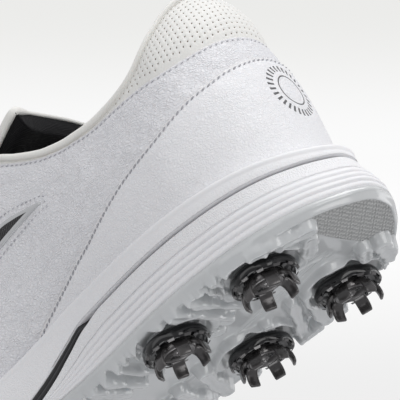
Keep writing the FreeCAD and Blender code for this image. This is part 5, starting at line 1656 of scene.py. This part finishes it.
# inside the shoe: the padded insole on its board, inside the feather line
def inner_bed():
    uu = np.linspace(0.0, 14.0, 160)
    m_, l_ = skin(uu, np.zeros((160, 1)))[:, 0, :2], skin(-uu, np.zeros((160, 1)))[:, 0, :2]
    a = np.linspace(0, np.pi, 40)[1:-1]
    c0, half = 0.5 * (m_[-1] + l_[-1]), 0.5 * (m_[-1] - l_[-1])
    toe = c0 + np.cos(a)[:, None] * half + np.sin(a)[:, None] * np.array([9.0, -0.6])
    return np.concatenate([m_, toe, l_[::-1][:-1]])


FEATHER = inner_bed()
bed_z = spline([-132.6, -122.6, -111.4, -96, -71, -44, -16, 12, 38, 66, 92, 112.5, 128, 138.5, 148],
               [30.5, 30.7, 31.0, 31.4, 32.2, 31.0, 27.4, 24.6, 23.1, 22.5, 22.7, 24.0, 25.6, 27.2, 29.0])


def bed_piece(name, inset, z_lo, z_hi, dish, mat, node):
    cen = 0.5 * (FEATHER.min(0) + FEATHER.max(0))
    half = 0.5 * (FEATHER.max(0) - FEATHER.min(0))
    poly = cen + (FEATHER - cen) * (1 - inset / half)
    a, b = poly, np.roll(poly, -1, 0)
    th = np.linspace(0, np.pi, 190)
    xs = cen[0] - np.cos(th) * (0.5 * (poly[:, 0].max() - poly[:, 0].min()) - 0.05)
    lo, hi = np.empty(len(xs)), np.empty(len(xs))
    for i, x in enumerate(xs):
        m = ((a[:, 0] - x) * (b[:, 0] - x) <= 0) & (a[:, 0] != b[:, 0])
        t = (x - a[m, 0]) / (b[m, 0] - a[m, 0])
        y = a[m, 1] + t * (b[m, 1] - a[m, 1])
        lo[i], hi[i] = y.min(), y.max()
    c = np.sin(np.linspace(-0.5, 0.5, 60) * np.pi) * 0.5 + 0.5
    Y = lo[:, None] + np.maximum(hi - lo, 0.05)[:, None] * c[None]
    X_ = np.broadcast_to(xs[:, None], Y.shape)
    base = bed_z(np.clip(xs, -132.6, 148))[:, None]
    k = np.abs(2 * c - 1)[None]
    ends = np.minimum(smooth(0, 14, np.arange(len(xs))), smooth(0, 14, np.arange(len(xs))[::-1]))[:, None]
    soft = (1 - k ** 10) ** 0.5 * ends ** 0.5
    top = base + z_lo + (z_hi - z_lo) * (0.35 + 0.65 * soft) + dish * (k ** 2.2 - 0.4) * soft
    top = top + 0.10 * dish * vnoise(np.stack([X_ * 0.12, Y * 0.12, Y * 0], -1), 61)
    V, f, g_, r = shell(np.stack([X_, Y, top], -1), np.stack([X_, Y, base + z_lo + 0 * Y], -1))
    ob = make(name, V, [f, g_, r], [mat], attrs={"edge": np.full(len(V), 3.0)})
    fix(ob)
    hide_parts(node)
    return ob


bed_piece("insole_padded", 5.6, 1.5, 5.6, 1.1, SOCK, "sockliner")
bed_piece("insole_board_cloth", 3.4, 0.05, 1.4, 0.0, BOARD, "strobel_board")
hp = heel_pad()
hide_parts("heel_pad")


# ---------------------------------------------------------------- spikes
def spike(name, sx, sy, turn):
    """Twist-in spike: flared dish with facets on its rim, six claws, hub plate with a ring and two wrench holes."""
    seat = 9.9
    K = 96
    a = np.linspace(0, 2 * np.pi, K, endpoint=False) + turn
    lob = np.cos(6 * (a - turn))
    f6 = np.clip(lob, -1, 1)
    prof = [  # radius, z, scallop share, facet share
        (5.95, seat - 2.4, 0.0), (6.2, seat - 0.6, 0.0), (7.6, seat - 0.25, 0.0), (9.3, seat - 0.35, 0.1),
        (10.2, seat - 1.0, 0.25), (10.75, seat - 2.0, 0.45), (10.95, seat - 3.1, 0.7), (10.85, seat - 4.1, 0.9),
        (10.45, seat - 4.7, 1.0), (9.9, seat - 4.75, 1.0), (9.5, seat - 4.35, 0.9), (9.15, seat - 3.4, 0.6),
        (8.5, seat - 2.75, 0.3), (7.5, seat - 2.55, 0.1), (6.6, seat - 2.75, 0.0), (6.05, seat - 3.1, 0.0),
    ]
    V = []
    for r, z, sc in prof:
        rr = r - 0.75 * sc * (1 - f6) * 0.5
        zz = z + 1.05 * sc * (1 - f6) * 0.5
        V.append(np.stack([sx + rr * np.cos(a), sy + rr * np.sin(a), np.broadcast_to(zz, K)], -1))
    k = len(prof)
    V = np.array(V).transpose(1, 0, 2).reshape(-1, 3)
    polys = [quads(K, k, 0, wrap_n=True, wrap_m=True)]
    # claws: curved blades from the dish floor down and outwards, then the tip turns in
    base = len(V)
    parts = [V]
    claw = [(5.6, seat - 4.3, 2.1, 1.1), (6.4, seat - 4.5, 2.15, 1.0), (7.2, seat - 5.0, 2.15, 0.95), (7.9, seat - 5.9, 2.1, 0.9),
            (8.35, seat - 7.1, 2.1, 0.9), (8.5, seat - 8.4, 2.05, 0.85), (8.45, seat - 9.4, 1.95, 0.8), (8.4, seat - 9.82, 1.8, 0.65)]
    q4 = []
    capf = []
    rp = ring(16, 1.0, 1.0, 0.42)
    for c in range(6):
        an = turn + c * np.pi / 3
        er = np.array([math.cos(an), math.sin(an), 0])
        et = np.array([-math.sin(an), math.cos(an), 0])
        P = np.array([er * r + np.array([sx, sy, z]) for r, z, w, t in claw])
        tg = norm(np.gradient(P, axis=0))
        nr = norm(np.cross(tg, et[None]))
        W = np.array([w for *_, w, t in claw])
        Tk = np.array([t for *_, t in claw])
        g = P[:, None] + et[None, None] * (rp[None, :, :1] * W[:, None, None]) + nr[:, None] * (rp[None, :, 1:] * Tk[:, None, None] * 0.62)
        g[..., 2] = np.maximum(g[..., 2], 0.02)
        m, kk = g.shape[:2]
        parts.append(g.reshape(-1, 3))
        q4.append(quads(m, kk, base, wrap_m=True))
        capf.append(np.arange(kk) + base)
        capf.append((np.arange(kk) + base + (m - 1) * kk)[::-1])
        base += m * kk
    ob = make("spike_%s_dish" % name, np.concatenate(parts), [polys[0], np.concatenate(q4), np.array(capf)], [SPIKE, CLAW, CLAW],
              body="spike_" + name)
    fix(ob)
    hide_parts("spike_%s_cleat" % name)
    # facets: small grey flats at the rim between claws
    Vf, Ff, b0 = [], [], 0
    for c in range(12):
        an = turn + (c + 0.5) * np.pi / 6
        er = np.array([math.cos(an), math.sin(an), 0])
        et = np.array([-math.sin(an), math.cos(an), 0])
        ctr = np.array([sx, sy, seat - 4.35]) + er * 10.2
        dn = norm(np.array([er[0], er[1], -1.4]))
        up_ = np.cross(et, dn)
        for lay_, sc in ((0.0, 1.0), (0.28, 0.82)):
            for u_, v_ in ((-1.3, -0.55), (1.3, -0.55), (1.1, 0.5), (-1.1, 0.5)):
                Vf.append(ctr + et * u_ * sc + up_ * v_ * sc + dn * lay_)
        Ff += [(b0 + 4, b0 + 5, b0 + 6, b0 + 7), (b0 + 3, b0 + 2, b0 + 1, b0), (b0, b0 + 1, b0 + 5, b0 + 4),
               (b0 + 1, b0 + 2, b0 + 6, b0 + 5), (b0 + 2, b0 + 3, b0 + 7, b0 + 6), (b0 + 3, b0, b0 + 4, b0 + 7)]
        b0 += 8
    fo = make("spike_%s_facets" % name, np.array(Vf), [np.array(Ff)], [HUB], body="spike_" + name, smooth_shade=False)
    fix(fo)
    # hub: domed plate, ring groove, two holes, post
    K = 64
    a = np.linspace(0, 2 * np.pi, K, endpoint=False) + turn
    zb = seat - 5.4
    hp_ = [(0.0, zb - 0.05), (0.75, zb - 0.02), (0.95, zb - 0.30), (1.35, zb - 0.34), (1.55, zb - 0.02), (2.2, zb + 0.02), (4.6, zb + 0.05), (4.85, zb - 0.18),
           (5.25, zb - 0.20), (5.6, zb + 0.1), (5.85, zb + 0.7), (5.88, zb + 2.6), (5.8, seat - 0.15), (4.95, seat - 0.1), (4.95, seat + 5.2), (4.5, seat + 5.6), (0.0, seat + 5.6)]
    V = []
    for i, (r, z) in enumerate(hp_):
        V.append(np.stack([sx + r * np.cos(a), sy + r * np.sin(a), np.full(K, z)], -1))
    V = np.array(V).transpose(1, 0, 2).reshape(-1, 3)
    hub = make("spike_%s_hub" % name, V, [quads(K, len(hp_), 0, wrap_n=True)], [HUB], body="spike_" + name)
    bm = bmesh.new()
    bm.from_mesh(hub.data)
    bmesh.ops.remove_doubles(bm, verts=bm.verts, dist=1e-6)
    bmesh.ops.recalc_face_normals(bm, faces=bm.faces)
    bm.to_mesh(hub.data)
    bm.free()
    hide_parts("spike_%s_stud" % name)
    # wrench sockets: dark cups let into the plate
    Vs, Fs, b0 = [], [], 0
    aa = np.linspace(0, 2 * np.pi, 20, endpoint=False)
    for sg in (-1, 1):
        cx = sx + sg * 3.0 * math.cos(turn * 0)
        for rr, z in ((1.12, zb + 0.1), (1.05, zb - 0.08), (0.86, zb - 0.06), (0.84, zb + 0.0), (0.80, zb - 0.01), (0.02, zb - 0.012)):
            Vs.append(np.stack([cx + rr * np.cos(aa), sy + rr * np.sin(aa), np.full(20, z)], -1))
        g = np.arange(6 * 20).reshape(6, 20)
        Fs.append(np.stack([g[:-1], np.roll(g[:-1], -1, 1), np.roll(g[1:], -1, 1), g[1:]], -1).reshape(-1, 4) + b0)
        b0 += 120
    so = make("spike_%s_sockets" % name, np.concatenate(Vs), [np.concatenate(Fs)], [SPIKE], body="spike_" + name)


for nm, sx, sy in SPIKES:
    spike(nm, sx, sy, math.radians(15.0 if sy > 0 else 45.0))


# ---------------------------------------------------------------- carried-over nodes
def dress(node, mat):
    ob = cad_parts[node]
    ob.data.materials.clear()
    ob.data.materials.append(mat)


for node, mat in (("heel_stiffener", STIFF), ("toe_puff", STIFF), 
                  ("spike_receptacles", RECEPTACLE)):
    dress(node, mat)


# ---------------------------------------------------------------- stage
def stage_all():
    # floor: seen from above only, so that the low camera looks through it
    fm = bpy.data.materials.new("floor_pale")
    fm.use_nodes = True
    t = fm.node_tree
    p = t.nodes["Principled BSDF"]
    nz = t.nodes.new("ShaderNodeTexNoise")
    nz.inputs["Scale"].default_value = 30.0
    rp = t.nodes.new("ShaderNodeValToRGB")
    rp.color_ramp.elements[0].color = (0.80, 0.80, 0.80, 1)
    rp.color_ramp.elements[1].color = (0.84, 0.84, 0.835, 1)
    t.links.new(nz.outputs[0], rp.inputs[0])
    t.links.new(rp.outputs[0], p.inputs["Base Color"])
    p.inputs["Roughness"].default_value = 0.7
    geo = t.nodes.new("ShaderNodeNewGeometry")
    tr = t.nodes.new("ShaderNodeBsdfTransparent")
    mx = t.nodes.new("ShaderNodeMixShader")
    t.links.new(geo.outputs["Backfacing"], mx.inputs[0])
    t.links.new(p.outputs[0], mx.inputs[1])
    t.links.new(tr.outputs[0], mx.inputs[2])
    t.links.new(mx.outputs[0], t.nodes["Material Output"].inputs[0])
    me = bpy.data.meshes.new("floor")
    q = 2.5
    me.from_pydata([(-q, -q, 0), (q, -q, 0), (q, q, 0), (-q, q, 0)], [], [(0, 1, 2, 3)])
    me.materials.append(fm)
    floor = bpy.data.objects.new("floor", me)
    SCENE.collection.objects.link(floor)
    floor.visible_shadow = False
    floor.visible_diffuse = False
    floor.visible_glossy = False
    floor.visible_transmission = False

    # world: pale gradient for the camera, soft studio surroundings for the light
    w = bpy.data.worlds.new("studio")
    SCENE.world = w
    w.use_nodes = True
    t = w.node_tree
    t.nodes.clear()
    out = t.nodes.new("ShaderNodeOutputWorld")
    mixs = t.nodes.new("ShaderNodeMixShader")
    lp = t.nodes.new("ShaderNodeLightPath")
    cam_bg = t.nodes.new("ShaderNodeBackground")
    amb = t.nodes.new("ShaderNodeBackground")
    tc = t.nodes.new("ShaderNodeTexCoord")
    sep = t.nodes.new("ShaderNodeSeparateXYZ")
    t.links.new(tc.outputs["Window"], sep.inputs[0])
    r = t.nodes.new("ShaderNodeValToRGB")
    r.color_ramp.interpolation = "EASE"
    e = r.color_ramp.elements
    e[0].position, e[0].color = 0.0, (0.86, 0.86, 0.86, 1)
    e[1].position, e[1].color = 1.0, (0.835, 0.835, 0.82, 1)
    k = e.new(0.42)
    k.color = (0.985, 0.985, 0.985, 1)
    k = e.new(0.62)
    k.color = (0.965, 0.965, 0.965, 1)
    t.links.new(sep.outputs["Y"], r.inputs[0])
    t.links.new(r.outputs[0], cam_bg.inputs[0])
    # surroundings graded along the fixed axis AMB_AXIS, so that reflections run from dark below to bright above
    dot = t.nodes.new("ShaderNodeVectorMath")
    dot.operation = "DOT_PRODUCT"
    t.links.new(tc.outputs["Generated"], dot.inputs[0])
    dot.inputs[1].default_value = AMB_AXIS
    r2 = t.nodes.new("ShaderNodeValToRGB")
    e = r2.color_ramp.elements
    e[0].position, e[0].color = 0.0, (*AMB_HIGH, 1)
    e[1].position, e[1].color = 1.0, (*AMB_LOW, 1)
    mr = t.nodes.new("ShaderNodeMapRange")
    t.links.new(dot.outputs["Value"], mr.inputs[0])
    mr.inputs[1].default_value, mr.inputs[2].default_value = -1.0, 1.0
    t.links.new(mr.outputs[0], r2.inputs[0])
    t.links.new(r2.outputs[0], amb.inputs[0])
    amb.inputs[1].default_value = AMBIENT
    t.links.new(lp.outputs["Is Camera Ray"], mixs.inputs[0])
    t.links.new(amb.outputs[0], mixs.inputs[1])
    t.links.new(cam_bg.outputs[0], mixs.inputs[2])
    t.links.new(mixs.outputs[0], out.inputs[0])

    # camera
    rx = Vector((-0.68205574, -0.61962415, -0.38841456))
    uy = Vector((-0.55293109, 0.08934144, 0.8284234))
    bk = Vector((-0.47860963, 0.77979742, -0.4035453))
    cam = bpy.data.cameras.new("camera")
    co = bpy.data.objects.new("camera", cam)
    SCENE.collection.objects.link(co)
    M = Matrix((rx, uy, bk)).transposed().to_4x4()
    M.translation = Vector((-0.532966, 0.724162, -0.323744))
    co.matrix_world = M
    cam.lens = 272.16
    cam.sensor_width = 36.0
    cam.clip_start, cam.clip_end = 0.01, 20.0
    SCENE.camera = co

    target = Vector((-0.085, 0.01, 0.04))

    def area(name, right, up, back, dist, size, power, colour=(1, 1, 1), size_y=None, spec=1.0):
        d = (rx * right + uy * up + bk * back).normalized()
        li = bpy.data.lights.new(name, "AREA")
        li.shape = "RECTANGLE"
        li.size = size
        li.size_y = size_y or size
        li.energy = power
        li.color = colour
        li.specular_factor = spec
        ob = bpy.data.objects.new(name, li)
        SCENE.collection.objects.link(ob)
        ob.matrix_world = Matrix.Translation(target + d * dist) @ d.to_track_quat("Z", "Y").to_matrix().to_4x4()
        ob.visible_camera = False
        return ob

    for row in LIGHTS:
        area(*row)

    SCENE.view_settings.view_transform = "Standard"
    SCENE.view_settings.look = "None"
    SCENE.view_settings.exposure = 0.0
    SCENE.view_settings.gamma = 1.0
    SCENE.render.film_transparent = False


AMBIENT = 0.68
AMB_AXIS = (-0.10, 0.25, -0.96)      # towards the dark side
AMB_HIGH = (1.0, 1.0, 1.02)
AMB_LOW = (0.50, 0.50, 0.515)
LIGHTS = [
    # name, right, up, back, distance m, size m, watts, colour
    ("key", 0.55, 0.35, 0.75, 1.1, 0.7, 3.3, (1.0, 0.995, 0.985)),
    ("fill", -0.75, 0.25, 0.75, 1.1, 0.8, 1.8, (1.0, 1.0, 1.0)),
    ("top", 0.2, 1.0, -0.1, 0.9, 0.6, 3.6, (1.0, 1.0, 1.0)),
    ("rim", 1.0, -0.1, -0.5, 0.9, 0.5, 0.9, (1.0, 1.0, 1.0)),
    ("under", 0.3, -1.0, 0.3, 0.8, 0.45, 1.2, (0.98, 0.99, 1.0)),
]
stage_all()

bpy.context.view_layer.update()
